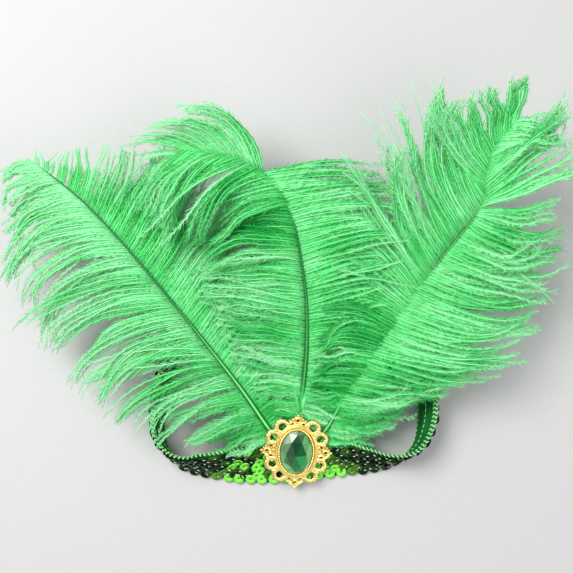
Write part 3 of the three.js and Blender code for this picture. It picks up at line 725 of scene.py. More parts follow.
class VaneBarbs:
    """The barbs of one vane, as one array for each trait: at is the share of the quill, lock the number of
    its lock, low is 1 on every other barb, and bare, fluff, ruffled and stray tell how far it is so. full
    runs from loose locks with thin tips at 0 to a closed fluffy web at 1, and steady is the shade that all
    barbs share: painted glare makes it paler towards the tip, and painted shade changes it where the vane
    is ruffled."""

    def __init__(self, name, settings, rng):
        vane = VANES[name]
        count = settings.barbs
        first, last = settings.first_barb, settings.last_barb
        at = first + (last - first) * (np.arange(count) + rng.uniform(0, 0.7, count)) / count
        start, end, left_out = vane.get("bare", (2, 2, 0))
        bare = within(at, start, end)
        kept = rng.uniform(0, 1, count) > left_out * bare
        self.at, self.bare, self.low = at[kept], bare[kept], np.arange(count)[kept] % 2
        self.count = len(self.at)
        self.full = vane["full"]
        self.fluff = 1 - ease(self.at / settings.fluffy_share)
        opens = rng.uniform(0, 1, self.count) < (1 + 1.2 * self.fluff) / settings.barbs_per_lock
        parted = self.at > vane.get("parting", 1.0)
        self.lock = np.cumsum(opens | np.diff(parted, prepend=False))
        self.locks = self.lock.max() + 1
        start, end, darker = vane.get("ruffled", (1, 1, 0))
        self.ruffled = (self.at > start) & (self.at < end)
        self.swirl = self.ruffled * (1 - self.fluff)
        # Painted glare makes the vane paler towards its tip; painted shade darkens it where it is ruffled
        self.steady = darker * within(self.at, start, end) + vane["paler"] * self.at + 0.01 * self.fluff

    def nudges(self, settings, rng):
        """Each barb's changes: its lock's and its own, a stray's, and its lock's in a swirl and in fluff;
        which barbs stray is drawn here."""
        nudge = rng.normal(0, 1, (self.locks, 6))[self.lock] * LOCK_SPREAD
        nudge += rng.normal(0, 1, (self.count, 6)) * BARB_SPREAD
        strays = np.where(self.ruffled, settings.ruffled_share, settings.stray_share)
        self.stray = rng.uniform(0, 1, self.count) < strays
        nudge[self.stray] += rng.uniform(-1, 1, (self.stray.sum(), 6)) * STRAY_SPREAD
        nudge += rng.normal(0, 1, (self.locks, 6))[self.lock] * self.swirl[:, None] * SWIRL_SPREAD
        nudge += rng.uniform(-1, 1, (self.locks, 6))[self.lock] * self.fluff[:, None] * FLUFF_SPREAD
        return nudge + UNCHANGED

    def seat(self, plume, rng):
        """How far beside and above the quill's middle a barb is rooted, in quill radii: lower in fluff
        and on every other barb, and across and over the quill where barbs hide it."""
        hidden = quill_hidden(plume, self.at)
        crossing = rng.uniform(0.5, 3.2, self.count)
        beside = 0.6 + 0.4 * self.fluff - crossing * hidden
        return beside, 0.3 - 0.7 * self.fluff + 0.9 * hidden - 0.4 * self.low

    def draw(self, rng):
        """How far a lock's tips draw together: less on a full vane and in fluff, more in a swirl."""
        draw = rng.uniform(0.05, 0.85 - 0.65 * self.full, self.locks)[self.lock]
        draw = draw * (1 - self.fluff) + 0.2 * self.fluff
        return draw + 0.5 * (0.9 - draw) * self.swirl

    def sway(self, settings, rng):
        """Side waves along each barb, nearly in step within a lock: sway times the sine of
        2 pi (pace q + phase), times q^0.8."""
        q = np.linspace(0, 1, BARB_STEPS + 1)
        phase = rng.uniform(0, 1, self.locks)[self.lock]
        phase = phase + rng.normal(0, 0.08 + 0.1 * self.fluff, self.count)
        pace = rng.uniform(0.9, 2.0, self.locks)[self.lock]
        wave = np.sin(2 * np.pi * (pace[:, None] * q + phase[:, None])) * q**0.8
        return settings.sway / MM * (1 + 0.3 * self.fluff - 0.7 * self.bare)[:, None] * wave

    def own_shades(self, rng):
        """Each barb's own change of shade and its lock's: strays are paler, and every other barb is painted
        darker, as shade in a valley between ridges.
        """
        own = rng.normal(0, 0.07 + 0.08 * self.fluff, self.count)
        own += rng.normal(0, 0.1, self.locks)[self.lock] * (1 + np.maximum(self.ruffled, self.fluff))
        # Painted shade: every other barb, which is also lower, is darker, as in a valley
        return own + 0.14 * self.stray - (0.2 - 0.12 * self.full) * self.low * (1 - self.fluff)


def make_vane(plume, side_name, settings, seed, material):
    """One vane of a plume: barbs in locks, each a ridge painted pale as a highlight, with needle-thin
    barbules swept along it and painted darker as shade under it; every other barb is lower and painted
    darker as shade in a valley. Barbs of a lock sway together and draw together at their tips; those near
    the root are fluffy, and single wisps come out from under some vanes."""
    rng = np.random.default_rng(seed)
    name = plume + "_vane_" + side_name
    side = -1.0 if side_name == "left" else 1.0
    line = spline(PLUMES[plume]["quill"], QUILL_STEPS)
    barbs = VaneBarbs(name, settings, rng)
    nudge = barbs.nudges(settings, rng)
    seat = barbs.seat(plume, np.random.default_rng(seed + SEAT_SEED))
    paths, up = barb_paths(line, PLUMES[plume][side_name], side, barbs.at, nudge, seat)
    paths = gather_tips(paths, barbs.lock, barbs.draw(rng), start=0.45)
    across = barb_frame(paths, up)[1]
    paths = paths + across * barbs.sway(settings, rng)[..., None]
    paths[..., 2] = np.maximum(paths[..., 2], LOWEST_BARB)
    shape = Shape()
    shades = (barbs.steady, barbs.own_shades(rng))
    traits = (barbs.fluff, barbs.bare, np.full(barbs.count, barbs.full))
    add_barbs(shape, paths, up, shades, traits, settings, rng)
    wisps = np.array(WISPS.get(name, []), float).reshape(-1, 7)
    if len(wisps):
        none = np.zeros(len(wisps))
        nudge = np.tile(UNCHANGED, (len(wisps), 1))
        paths, up = barb_paths(line, wisps, side, wisps[:, 0], nudge, (none + 0.6, none))
        traits = (none, none + 0.85, none)
        add_barbs(shape, paths, up, (none + 0.1, none), traits, settings, rng, WISP_STOUTNESS)
    return shape.piece(name, material, "feather", plume)


def barb_shade(steady, own, q):
    """Shade at shares along a barb: the steady one, and its own, which shows less near the quill."""
    return steady + own * (0.45 + 0.55 * ease(q / 0.45))


def add_barbs(shape, paths, up, shades, traits, settings, rng, stout=1.0):
    """Adds barbs along paths: each a three-sided ridge that thins to its tip, a flat web of the finest
    barbules under it, wider on a full vane and none at the tip, and its barbules. The ridge is painted pale
    as a highlight, and the web and the barbules are painted darker as shade under it."""
    fluff, bare, full = (trait[:, None] for trait in traits)
    steady, own = (shade[:, None] for shade in shades)
    count = len(paths)
    frame_of_barb = barb_frame(paths, up)
    over = frame_of_barb[2]
    q = np.linspace(0, 1, RIDGE_POINTS)
    share = np.broadcast_to(q, (count, RIDGE_POINTS))
    thick = stout * settings.ridge_width / MM / 2 * rng.uniform(0.8, 1.2, (count, 1)) * (1 - 0.2 * fluff)
    size = thick * (1 - 0.6 * q**1.5)
    points, sides, ends = tubes(line_at(paths, share), size, line_at(over, share))
    # Painted highlight: the ridge is paler than the web and barbules under it, less so on fluff, and paler
    # towards its tip
    tone = barb_shade(steady, own, q) + settings.ridge_shade - 0.18 - 0.16 * fluff + 0.32 * q
    shape.add(points, sides, ends, shade=np.repeat(tone, 3, axis=1))
    q = np.linspace(0, 1, WEB_POINTS)
    share = q * (0.62 + 0.3 * full * rng.uniform(0.6, 1, (count, 1)))
    upward = line_at(over, share)
    wide = settings.web_width / MM / 2 * full * (1 - 0.8 * bare)
    size = 0.1 + wide * np.sin(0.8 * np.pi * (1 - q)) ** 0.6
    points, sides, ends = tubes(line_at(paths, share) - 0.45 * upward, size, upward, flat=0.12)
    # Painted shade: the web is darker than the ridge over it
    tone = barb_shade(steady, own, q) + settings.web_shade + 0.12 * q
    shape.add(points, sides, ends, shade=np.repeat(tone, 3, axis=1))
    add_barbules(shape, paths, frame_of_barb, shades, traits, settings, rng)


def add_barbules(shape, paths, frame_of_barb, shades, traits, settings, rng):
    """Barbules of each barb: needles that leave it to both sides below its ridge, swept towards its tip.
    They get shorter near the tip, less so on a full vane; they spread on a fluffy barb and on a full one's
    tip, and are short on a bare one."""
    needles = settings.barbules
    owner = np.repeat(np.arange(len(paths)), needles)
    total = len(owner)
    fluff, bare, full = (trait[owner] for trait in traits)
    steady, own = (shade[owner] for shade in shades)
    q = (np.tile(np.arange(needles), len(paths)) + rng.uniform(0, 1, total)) / needles
    q = (0.96 + 0.04 * full) * q ** (1.15 - 0.2 * full)
    hand = np.where(rng.uniform(0, 1, total) < 0.5, -1.0, 1.0)
    spread = rng.uniform(0, 1, total)
    hug = 1 - 0.5 * q * (1 - full)
    sweep = np.radians(rng.uniform(10, 38, total) * hug + 12 * fluff * spread + 18 * full * q * spread)
    climb = np.radians(rng.normal(-4, 8, total) + 8 * fluff)
    reach = np.linalg.norm(np.diff(paths, axis=1), axis=2).sum(axis=1)
    longest = np.minimum(settings.barbule_length / MM, 0.15 * reach)[owner]
    longest = longest * (1 - 0.8 * bare * ease((q - 0.35) / 0.3))
    length = longest * rng.uniform(0.5, 1.25, total) * (1 - (0.84 - 0.5 * full) * q**2)
    base, along, across, over = (
        line_at(part[owner], q[:, None])[:, 0] for part in (paths, *frame_of_barb)
    )
    base = base + across * (hand * rng.uniform(0, 0.5, total))[:, None] - over * 0.2
    heading = unit(
        along * (np.cos(sweep) * np.cos(climb))[:, None]
        + across * (hand * np.sin(sweep))[:, None]
        + over * np.sin(climb)[:, None]
    )
    tip = base + heading * length[:, None]
    tip[:, 2] = np.maximum(tip[:, 2], LOWEST_BARBULE)
    points, faces = spikes(base, tip, settings.barbule_width / MM / 2)
    # Painted shade: barbules are darker than the ridge over them, and paler towards the tip
    shade = barb_shade(steady, own, q) + settings.barbule_shade + rng.normal(0, 0.09, total) + 0.25 * q
    shape.add(points, faces, shade=np.repeat(shade, 4))


def make_down(settings, seed, material):
    """Down round the quills' roots: short curled barbs that fan out from a low oval patch behind the
    brooch, below its back and over the centre root, with barbules. It is painted darker, as shade, in a
    pocket at the left."""
    rng = np.random.default_rng(seed)
    count = settings.down_barbs
    turn = rng.uniform(0, 2 * np.pi, count)
    reach = np.sqrt(rng.uniform(0, 1, count))
    x = DOWN_MIDDLE[0] + DOWN_HALF[0] * reach * np.cos(turn)
    y = DOWN_MIDDLE[1] + DOWN_HALF[1] * reach * np.sin(turn)
    z = DOWN_HEIGHT + rng.uniform(0, 1.4, count)
    z = z + CENTRE_RISE * bell(x, 7) * ease((y - 26) / 4)
    root = np.stack([x, y, z], -1)
    fan = np.arctan2(y - DOWN_FAN[1], x - DOWN_FAN[0]) + rng.normal(0, 0.5, count)
    curl = rng.normal(0, 0.9, count)
    lift = np.radians(rng.uniform(0, 20, count))
    droop = np.radians(rng.uniform(10, 45, count))
    length = rng.uniform(7, 15, count)
    q = (np.arange(DOWN_STEPS) + 0.5) / DOWN_STEPS
    heading = fan[:, None] + curl[:, None] * q
    rise = lift[:, None] - droop[:, None] * q
    step = np.stack([np.cos(rise) * np.cos(heading), np.cos(rise) * np.sin(heading), np.sin(rise)], -1)
    walk = np.cumsum(step * (length / DOWN_STEPS)[:, None, None], axis=1)
    paths = np.concatenate([root[:, None], root[:, None] + walk], axis=1)
    along = paths[..., 1]
    ceiling = np.where(along < 28, 7.8 + np.tan(BROOCH_TILT) * (along - 8.4), np.inf)
    paths[..., 2] = np.minimum(paths[..., 2], ceiling)
    shape = Shape()
    # Painted shade: the down is darker in a pocket left of the middle
    shades = (-0.45 * bell(x + 10, 5), rng.normal(-0.02, 0.2, count))
    traits = (np.ones(count), np.zeros(count), np.full(count, 0.5))
    add_barbs(shape, paths, UP, shades, traits, settings, rng)
    return shape.piece("feather_down", material, "feather")


def make_quill(plume, material):
    """Quill: an oval tube whose radius falls along it, with a shallow groove carried along its top."""
    rings = 100
    sides = 20
    line = spline(PLUMES[plume]["quill"], rings)
    share = np.linspace(0, 1, rings)
    hidden = quill_hidden(plume, share)
    radius = (np.interp(share, QUILL_SHARES, QUILL_RADII) * (1 - 0.4 * hidden))[:, None, None]
    along = unit(np.gradient(line, axis=0))
    up = unit(UP - along * along[:, 2:3])
    across = np.cross(along, up)
    angle = turns(sides)
    from_top = (angle - np.pi / 2 + np.pi) % (2 * np.pi) - np.pi
    ring = 1 - 0.2 * bell(from_top, 0.35)
    level = (1.1 * ring * np.cos(angle))[None, :, None] * across[:, None]
    rise = (0.9 * ring * np.sin(angle))[None, :, None] * up[:, None]
    points = line[:, None] + radius * (level + rise)
    strength = np.interp(share, [0, 0.3, 0.5], QUILL_STRIPES[plume])
    shape = Shape()
    # stripe is the painted highlight along the quill's top; hidden marks where barbs hide it and shade is
    # painted
    shape.add(
        points, grid_faces(rings, sides, wrap_columns=True), end_faces(rings, sides),
        stripe=bell(from_top, 0.55) * strength[:, None], hidden=np.repeat(hidden, sides),
    )
    return shape.piece(plume + "_quill", material, "feather", plume)


def make_elastic(settings, material):
    """Elastic: a thin wall with rounded edges, its profile of height and depth carried round the loop."""
    steps = 420
    width = settings.width / MM
    depth = settings.thickness / MM
    face = np.linspace(0.5, width - 0.5, 13)
    edge = np.array([0.3, 0.7]) * depth
    heights = np.concatenate([face, [width, width], face[::-1], [0, 0]])
    depths = np.concatenate([0 * face, edge, 0 * face + depth, edge[::-1]])
    points = band_point((np.arange(steps) / steps)[:, None], heights[None], depths[None])
    shape = Shape()
    faces = grid_faces(steps, len(heights), wrap_rows=True, wrap_columns=True)
    shape.add(points, faces, uv=wrapped_uv(steps, len(heights)))
    return shape.piece("elastic_band_woven", material, "elastic", "elastic_band")


def thread_dashes(share, length, low, high, radius, bow):
    """Short thread dashes on the band: each goes from a low to a high place (height, depth) over a
    length along the band, bowed out of the face in the middle, as a five-sided tube."""
    q = np.linspace(0, 1, 6)
    total = shares_by_length(1, BAND_MIDDLE)[1]
    along = share[:, None] + (q[None] - 0.5) * length / total
    height = low[0] + (high[0] - low[0]) * q[None]
    depth = low[1] + (high[1] - low[1]) * q[None] + bow * np.sin(np.pi * q[None])
    paths = np.maximum(band_point(along, height, depth), (-np.inf, -np.inf, radius))
    out = band_frame(along, height, depth)[2]
    taper = radius * (0.55 + 0.45 * np.sin(np.pi * q)) * np.ones((len(share), 1))
    return tubes(paths, taper, out, corners=5, flat=0.8)


def make_stitches(settings, material):
    """Stitches: cords of overlapping dashes along the inside of the band, and a braid of three slanting
    dashes to a stitch over its upper edge."""
    shape = Shape()
    width = settings.width / MM
    for place, radius in CORDS:
        height = place * width
        share = shares_by_length(CORD_STITCHES, height)[0]
        low, high = (height - CORD_BOW, -CORD_BOW), (height + CORD_BOW, -CORD_BOW)
        shape.add(*thread_dashes(share, CORD_DASH, low, high, radius, -CORD_BOW))
    share = shares_by_length(BRAID_STITCHES, width)[0]
    ends = [(width + height, depth) for height, depth in BRAID_ENDS]
    for slant, low, high in zip((1, -1, 1), ends, ends[1:]):
        shape.add(*thread_dashes(share, slant * BRAID_SLANT, low, high, BRAID_RADIUS, 0.0))
    return shape.piece("elastic_band_stitches", material, "elastic")


def sequin_disc(settings):
    """One sequin lying flat: a thin cupped disc with a hole, whose height over its middle is cup times the
    square of the share of its radius. Returns its points, its faces and the share at each point."""
    sides = 12
    share, wall = np.array(SEQUIN_RINGS).T[:, :, None]
    flat = share * settings.radius / MM
    rise = settings.cup / MM * share**2 + wall
    angle = turns(sides)
    disc = np.stack([flat * np.cos(angle), flat * np.sin(angle), rise * np.ones(sides)], -1)
    faces = grid_faces(len(SEQUIN_RINGS), sides, wrap_rows=True, wrap_columns=True)
    return disc.reshape(-1, 3), faces, np.repeat(share, sides)


def make_sequins(settings, seed, disc_paint, dash_paint):
    """Sequins: cupped discs in shingled rows round the band, the lowest row turned up a little, and a
    thread dash from the hole of each dark or olive one."""
    rng = np.random.default_rng(seed)
    radius = settings.radius / MM
    disc, faces, rim = sequin_disc(settings)
    shape = Shape()
    threads = Shape()
    heights = np.linspace(settings.lowest_row / MM, settings.highest_row / MM, settings.rows)
    for row, height in enumerate(heights):
        share, total = shares_by_length(settings.count, height)
        count = len(share)
        share = share + rng.normal(0, 0.35, count) / total + 0.5 * (row % 2) / count
        depth = SEQUIN_DEPTH + rng.normal(0, 0.08, count)
        places = height + rng.normal(0, 0.3, count) * (row > 0)
        centre = band_point(share, places, depth)
        along, up, out = band_frame(share, places, depth)
        lean = np.radians(rng.normal(6, 7, count))[:, None]
        roll = np.radians(rng.normal(-9, 6, count))[:, None]
        turned_up = (row == 0) * np.maximum(out[:, 2:], 0) * UP
        out = unit(out + np.tan(lean) * along + np.tan(roll) * up + turned_up)
        along = unit(along - out * np.einsum("ij,ij->i", along, out)[:, None])
        up = np.cross(out, along)
        points = centre[:, None] + disc @ np.stack([along, up, out], 1)
        points[..., 2] = np.maximum(points[..., 2], 0.05)
        # Painted reflected light: discs near the front are mostly bright, those beyond it mostly dark
        tint = sequin_tints(settings, share % 1, total, row == 0, rng)
        shape.add(
            points, repeat_faces(faces, count, len(disc)),
            tint=np.repeat(tint, len(disc)), rim=np.tile(rim, count),
        )
        q = np.linspace(0, 1, 5)
        reach = 0.15 + 0.5 * q
        lift = settings.cup / MM * reach**2 + 0.2 + 0.2 * np.sin(np.pi * q)
        direction = unit(along + rng.normal(0, 0.35, (count, 1)) * up)
        level = radius * reach[:, None] * direction[:, None]
        paths = centre[:, None] + level + lift[:, None] * out[:, None]
        dashed = tint < DASHED_BELOW
        paths = np.maximum(paths[dashed], (-np.inf, -np.inf, 0.4))
        thick = 0.3 * (0.5 + 0.5 * np.sin(np.pi * q)) * np.ones((len(paths), 1))
        upward = np.broadcast_to(out[dashed][:, None], paths.shape)
        threads.add(*tubes(paths, thick, upward, corners=5, flat=0.9))
    made = shape.piece("sequin_rows_discs", disc_paint, "sequin", "sequin_rows")
    return made, threads.piece("sequin_rows_threads", dash_paint, "sequin")


def sequin_tints(settings, share, total, lowest, rng):
    """Tint of each disc in a row, from dark 0 to lime 1, partly the sequins' own mix and partly painted
    reflected light: mixed within the bright reach of the front, where light falls on the discs and the
    lowest row is lime, with a few olive ones beyond it, where the discs are painted dark."""
    from_right = share * total - settings.bright_right / MM
    from_left = (1 - share) * total - settings.bright_left / MM
    beyond = np.where(share < 0.5, from_right, from_left) + rng.normal(0, 2.5, len(share))
    draw = rng.uniform(0, 1, len(share))
    lime_share = 0.97 if lowest else 0.36
    mixed = np.select([draw < lime_share, draw < 0.75], [LIME_TINT, OLIVE_TINT], DARK_TINT)
    far = np.where(draw < 0.07, OLIVE_TINT, 0.0)
    near_edge = np.where(draw < 0.5, OLIVE_TINT, 0.0)
    tint = np.select([beyond < 0, beyond < 7], [mixed, near_edge], far)
    return np.clip(tint + rng.normal(0, 0.07, len(share)), 0, 1)


def turned(points, angle, axis):
    """Points turned anticlockwise about the x axis (0) or the z axis (2)."""
    c, s = np.cos(angle), np.sin(angle)
    spin = np.array([(1, 0, 0), (0, c, -s), (0, s, c)])
    spin = np.roll(spin, axis, axis=(0, 1))
    return np.asarray(points, float).reshape(-1, 3) @ spin.T


def to_work(points):
    """Brooch points to the work frame: turned about the face, set in place, then tilted with the band."""
    return turned(turned(points, BROOCH_TURN, 2) + BROOCH_PLACE, BROOCH_TILT, 0) + BROOCH_FOOT


def oval_ridge(half, height, radius, ripple, waves, twist, steps=320, sides=8):
    """Ridge round an oval: a ring of points carried along it, its radius rippled along the way."""
    turn = turns(steps)[:, None]
    angle = turns(sides)[None]
    outward = unit(np.stack([half[1] * np.cos(turn), half[0] * np.sin(turn), 0 * turn], -1))
    centre = np.stack([half[0] * np.cos(turn), half[1] * np.sin(turn), height + 0 * turn], -1)
    size = radius * (1 + ripple * np.cos(waves * turn + twist * angle))
    points = centre + (size * np.cos(angle))[..., None] * outward + (size * np.sin(angle))[..., None] * UP
    return points, grid_faces(steps, sides, wrap_rows=True, wrap_columns=True)


def round_rings(centres, radius, wire, around, sides, rise=1.0, ripple=0.0, waves=0):
    """Round rings: a wire circle, rippled in a twist, carried round a circle at each centre."""
    turn = turns(around)[:, None]
    angle = turns(sides)[None]
    outward = np.stack([np.cos(turn), np.sin(turn), 0 * turn], -1)
    size = wire * (1 + ripple * np.cos(waves * turn + angle))
    level = (radius + size * np.cos(angle))[..., None] * outward
    ring = level + (rise * size * np.sin(angle))[..., None] * UP
    points = np.asarray(centres, float)[:, None] + ring.reshape(1, -1, 3)
    faces = grid_faces(around, sides, wrap_rows=True, wrap_columns=True)
    return points, repeat_faces(faces, len(centres), around * sides)


def beads(centres, radius, rise=1.0):
    """Round beads: rings of eight points at four latitudes, closed by a flat end at each pole."""
    latitude = np.radians([-66, -24, 24, 66])[:, None]
    turn = turns(8)[None]
    level = np.cos(latitude)
    ball = np.stack([level * np.cos(turn), level * np.sin(turn), rise * np.sin(latitude) + 0 * turn], -1)
    points = np.asarray(centres)[:, None] + np.asarray(radius)[:, None, None] * ball.reshape(1, -1, 3)
    sides = repeat_faces(grid_faces(4, 8, wrap_columns=True), len(centres), 32)
    return points, sides, repeat_faces(end_faces(4, 8), len(centres), 32)


def lobe_plate():
    """Pierced lobe: a plate whose half width falls in a curve to a point, on a grid of share across
    and place outwards. Its border and the rims of its holes are raised; the faces inside a hole are left
    out, the points round it are drawn onto its circle, and walls join the two sheets."""
    across = np.linspace(-1, 1, 49)[:, None]
    out = np.linspace(-1.6, 6.0, 37)[None]
    half = np.interp(out, *LOBE_HALF_WIDTHS)
    x = across * half
    y = out + 0 * across
    top = 1.25 + 0.35 * bell((1 - np.abs(across)) * half, 0.5)
    pit = np.zeros_like(x)
    for place in LOBE_HOLES:
        distance = np.hypot(x - place[0], y - place[1])
        top = top + 0.4 * bell(distance - 1.05, 0.32)
        pit = np.maximum(pit, np.exp(-((distance / LOBE_HOLE / 1.15) ** 6)))
    scroll = np.sin(2.6 * np.hypot(x, y + 1.0) + 1.4 * np.abs(np.arctan2(x, y + 2.0)))
    top = top + 0.16 * scroll * (1 - pit) - 0.4 * pit
    flat = np.stack([x.ravel(), y.ravel()], -1)
    faces = grid_faces(*x.shape)[:, ::-1]
    from_holes = np.linalg.norm(flat[faces].mean(axis=1)[:, None] - LOBE_HOLES, axis=2)
    pierced = from_holes.min(axis=1) < LOBE_HOLE
    rim = np.unique(open_edges(faces[pierced]))
    away = flat[rim][:, None] - LOBE_HOLES
    nearest = np.linalg.norm(away, axis=2).argmin(axis=1)
    flat[rim] = LOBE_HOLES[nearest] + LOBE_HOLE * unit(away[np.arange(len(rim)), nearest])
    upper = faces[~pierced]
    size = len(flat)
    start, end = open_edges(upper).T
    wall = np.stack([end, start, start + size, end + size], -1)
    used, faces = np.unique(np.concatenate([upper, upper[:, ::-1] + size, wall]), return_inverse=True)
    heights = np.concatenate([top.ravel(), np.full(size, 0.1)])
    points = np.column_stack([np.tile(flat, (2, 1)), heights])
    # Painted shade: relief is low in the scroll's troughs, and hole darkens the holes' walls and rims
    relief = np.concatenate([(0.35 + 0.3 * scroll).ravel(), np.zeros(size)])
    hole = np.tile(pit.ravel(), 2)
    return points[used], faces.reshape(-1, 4), relief[used], hole[used]


def four_ways(places):
    """Places mirrored left to right and up to down, the four of each place together."""
    signs = np.array([(1, 1), (1, -1), (-1, 1), (-1, -1)])
    return (np.asarray(places, float)[:, None] * signs).reshape(-1, 2)


def make_setting(settings, material):
    """Brooch setting: an oval plate, rippled oval ridges round the stone, eight twisted wire loops over
    plain ones, and four pierced lobes with beads along their edges."""
    shape = Shape()
    sides = 96
    scale, height = np.array(PLATE_PROFILE).T[:, :, None]
    turn = turns(sides)
    wide, high = PLATE_HALF
    plate = np.stack([wide * scale * np.cos(turn), high * scale * np.sin(turn), height + 0 * turn], -1)
    rings = len(PLATE_PROFILE)
    faces = grid_faces(rings, sides, wrap_columns=True)
    # Relief sets painted shade: low relief is painted in the orange recess colour, high relief gold
    shape.add(to_work(plate), faces, end_faces(rings, sides), relief=0.1, hole=0.0)
    for margin, height, radius, ripple, waves, twist, relief in BEZEL_RIDGES:
        points, faces = oval_ridge(STONE_HALF + margin, height, radius, ripple, waves, twist)
        shape.add(to_work(points), faces, relief=relief, hole=0.0)
    places = four_ways(LOOP_PLACES)
    centres = np.column_stack([places, np.full(len(places), 1.05)])
    radius = settings.loop_radius / MM
    wire = settings.loop_wire / MM
    points, faces = round_rings(centres, radius, wire, 72, 10, rise=0.6, ripple=0.16, waves=15)
    shape.add(to_work(points), faces, relief=1.0, hole=0.0)
    points, faces = round_rings(centres - (0, 0, 0.5), radius + 0.5, wire * 0.8, 40, 8)
    shape.add(to_work(points), faces, relief=0.4, hole=0.0)
    joins = np.array(JOIN_BEADS)
    places = four_ways(joins[:, :2])
    centres = np.column_stack([places, np.full(len(places), 1.0)])
    points, *faces = beads(centres, np.repeat(joins[:, 2], 4), rise=0.8)
    shape.add(to_work(points), *faces, relief=0.75, hole=0.0)
    edge_beads = np.array(LOBE_BEADS)
    edge_beads = np.concatenate([edge_beads, edge_beads[1:] * (-1, 1, 1)])
    centres = np.column_stack([edge_beads[:, :2], np.full(len(edge_beads), 1.1)])
    lobe, lobe_faces, relief, hole = lobe_plate()
    for quarter in range(4):
        edge = (0, LOBE_EDGES[quarter % 2], 0)
        angle = -quarter * np.pi / 2
        shape.add(to_work(turned(lobe + edge, angle, 2)), lobe_faces, relief=relief, hole=hole)
        points, *faces = beads(turned(centres + edge, angle, 2), edge_beads[:, 2])
        shape.add(to_work(points), *faces, relief=0.95, hole=0.0)
    return shape.piece("brooch_setting_filigree", material, "gold", "brooch_setting")


def make_stone(material):
    """Stone: a hexagonal table, six stars and six kites over a low girdle of 36 points on an oval;
    each flat facet carries its own tint, a painted reflection, lighter or darker."""
    around = turns(36)
    corner_turn = turns(6)
    star_turn = corner_turn + np.pi / 6
    rings = [
        (around, 0.97, 0.0), (around, 1.0, 0.5), (around, 1.0, 1.2), (star_turn, 0.86, 3.0),
        (corner_turn, 0.64, 4.4),
    ]
    wide, high = STONE_HALF
    points = [
        np.stack([scale * wide * np.cos(turn), scale * high * np.sin(turn), height + 0 * turn], -1)
        for turn, scale, height in rings
    ]
    points = np.concatenate([*points, [TABLE_MIDDLE]]) + (0, 0, STONE_BASE)
    girdle, star, corner, middle = 72, 108, 114, 120
    walls = grid_faces(3, 36, wrap_columns=True)[:, ::-1]
    base = np.arange(36)[None, ::-1]
    sixths = np.arange(6)
    after = (sixths + 1) % 6
    arc = girdle + (sixths[:, None] * 6 + np.arange(7)) % 36
    stars = np.stack([corner + sixths, star + sixths, corner + after], -1)
    kite_first = np.stack([corner + sixths, arc[:, 0], star + sixths], -1)
    kite_last = np.stack([corner + after, star + sixths, arc[:, 6]], -1)
    low = np.stack([np.repeat(star + sixths, 6), arc[:, :-1].ravel(), arc[:, 1:].ravel()], -1)
    table = np.stack([np.full(6, middle), corner + sixths, corner + after], -1)
    shape = Shape()
    shape.add(to_work(points), walls, base, stars, kite_first, kite_last, low, table)
    made = shape.piece("brooch_stone_cut", material, "stone", "brooch_stone", smooth=False)
    # Painted reflections: one colour for each facet
    tints = np.array(STONE_TINTS).transpose(1, 0, 2)
    star_tint, first_tint, last_tint, low_first, low_last, table_tint = tints
    low_tints = np.stack([low_first] * 3 + [low_last] * 3, axis=1).reshape(-1, 3)
    wall_tints = np.full((len(walls) + 1, 3), GIRDLE_TINT)
    colours = np.concatenate([wall_tints, star_tint, first_tint, last_tint, low_tints, table_tint])
    colours = np.column_stack([colours, np.ones(len(colours))])
    attribute = made.data.attributes.new("facet", "FLOAT_COLOR", "FACE")
    attribute.data.foreach_set("color", colours.astype(np.float32).ravel())
    return made


def feather_paint(settings):
    """Dyed feather: the shade value, which carries painted highlights and painted shade, runs from deep to
    pale green, with cloudy patches and a soft sheen.
    """
    paint = Paint("dyed_feather")
    cloud = paint.noise(55.0, 3.0)
    fine = paint.noise(900.0, 1.0)
    shade = paint.attribute("shade") + (cloud - 0.5) * 0.55 + (fine - 0.5) * 0.2
    # The ramp turns painted shade deep green and painted highlight pale green
    colour = paint.ramp(shade, [(0.12, settings.deep), (0.5, settings.middle), (0.95, settings.pale)])
    rough = 0.62 + (fine - 0.5) * 0.2
    return paint.set(
        Base_Color=colour, Roughness=rough, Sheen_Weight=0.03, Sheen_Roughness=0.4,
        Sheen_Tint=(0.6, 1.0, 0.68, 1.0), Specular_IOR_Level=0.1,
    )


def quill_paint(settings):
    """Quill: dark green sides, partly painted shade, a pale stripe along the groove, which is a painted
    highlight, and the barbs' shaded green where they hide it, which is painted shade.
    """
    paint = Paint("quill_horn")
    grain = paint.noise(700.0)
    stripe = paint.attribute("stripe") + (grain - 0.5) * 0.2
    colour = paint.ramp(stripe, [(0.25, settings.quill_edge), (0.85, settings.quill_stripe)])
    shaded = tuple((deep + middle) / 2 for deep, middle in zip(settings.deep, settings.middle))
    colour = paint.mix(paint.attribute("hidden"), colour, shaded)
    bump = paint.bump(grain, 0.12, 0.0004)
    return paint.set(Base_Color=colour, Roughness=0.45 + grain * 0.15, Specular_IOR_Level=0.15, Normal=bump)


def elastic_paint(settings):
    """Woven elastic: cords along the band crossed by fine ribs, both as bump and as light and dark."""
    paint = Paint("woven_elastic")
    along = paint.node("ShaderNodeSeparateXYZ", {}, {0: paint.uv()})
    ribs = paint.sine(along * (2 * np.pi * 220))
    cords = paint.sine(along.other(1) * (2 * np.pi * 22))
    weave = 0.5 + 0.25 * ribs * cords + 0.25 * cords
    cloud = paint.noise(160.0, 3.0)
    shade = weave * 0.7 + cloud * 0.5 - 0.1
    return paint.set(
        Base_Color=paint.ramp(shade, [(0.15, settings.deep), (0.8, settings.pale)]),
        Roughness=0.75 + cloud * 0.15, Specular_IOR_Level=0.1, Normal=paint.bump(weave, 0.6, 0.0004),
    )


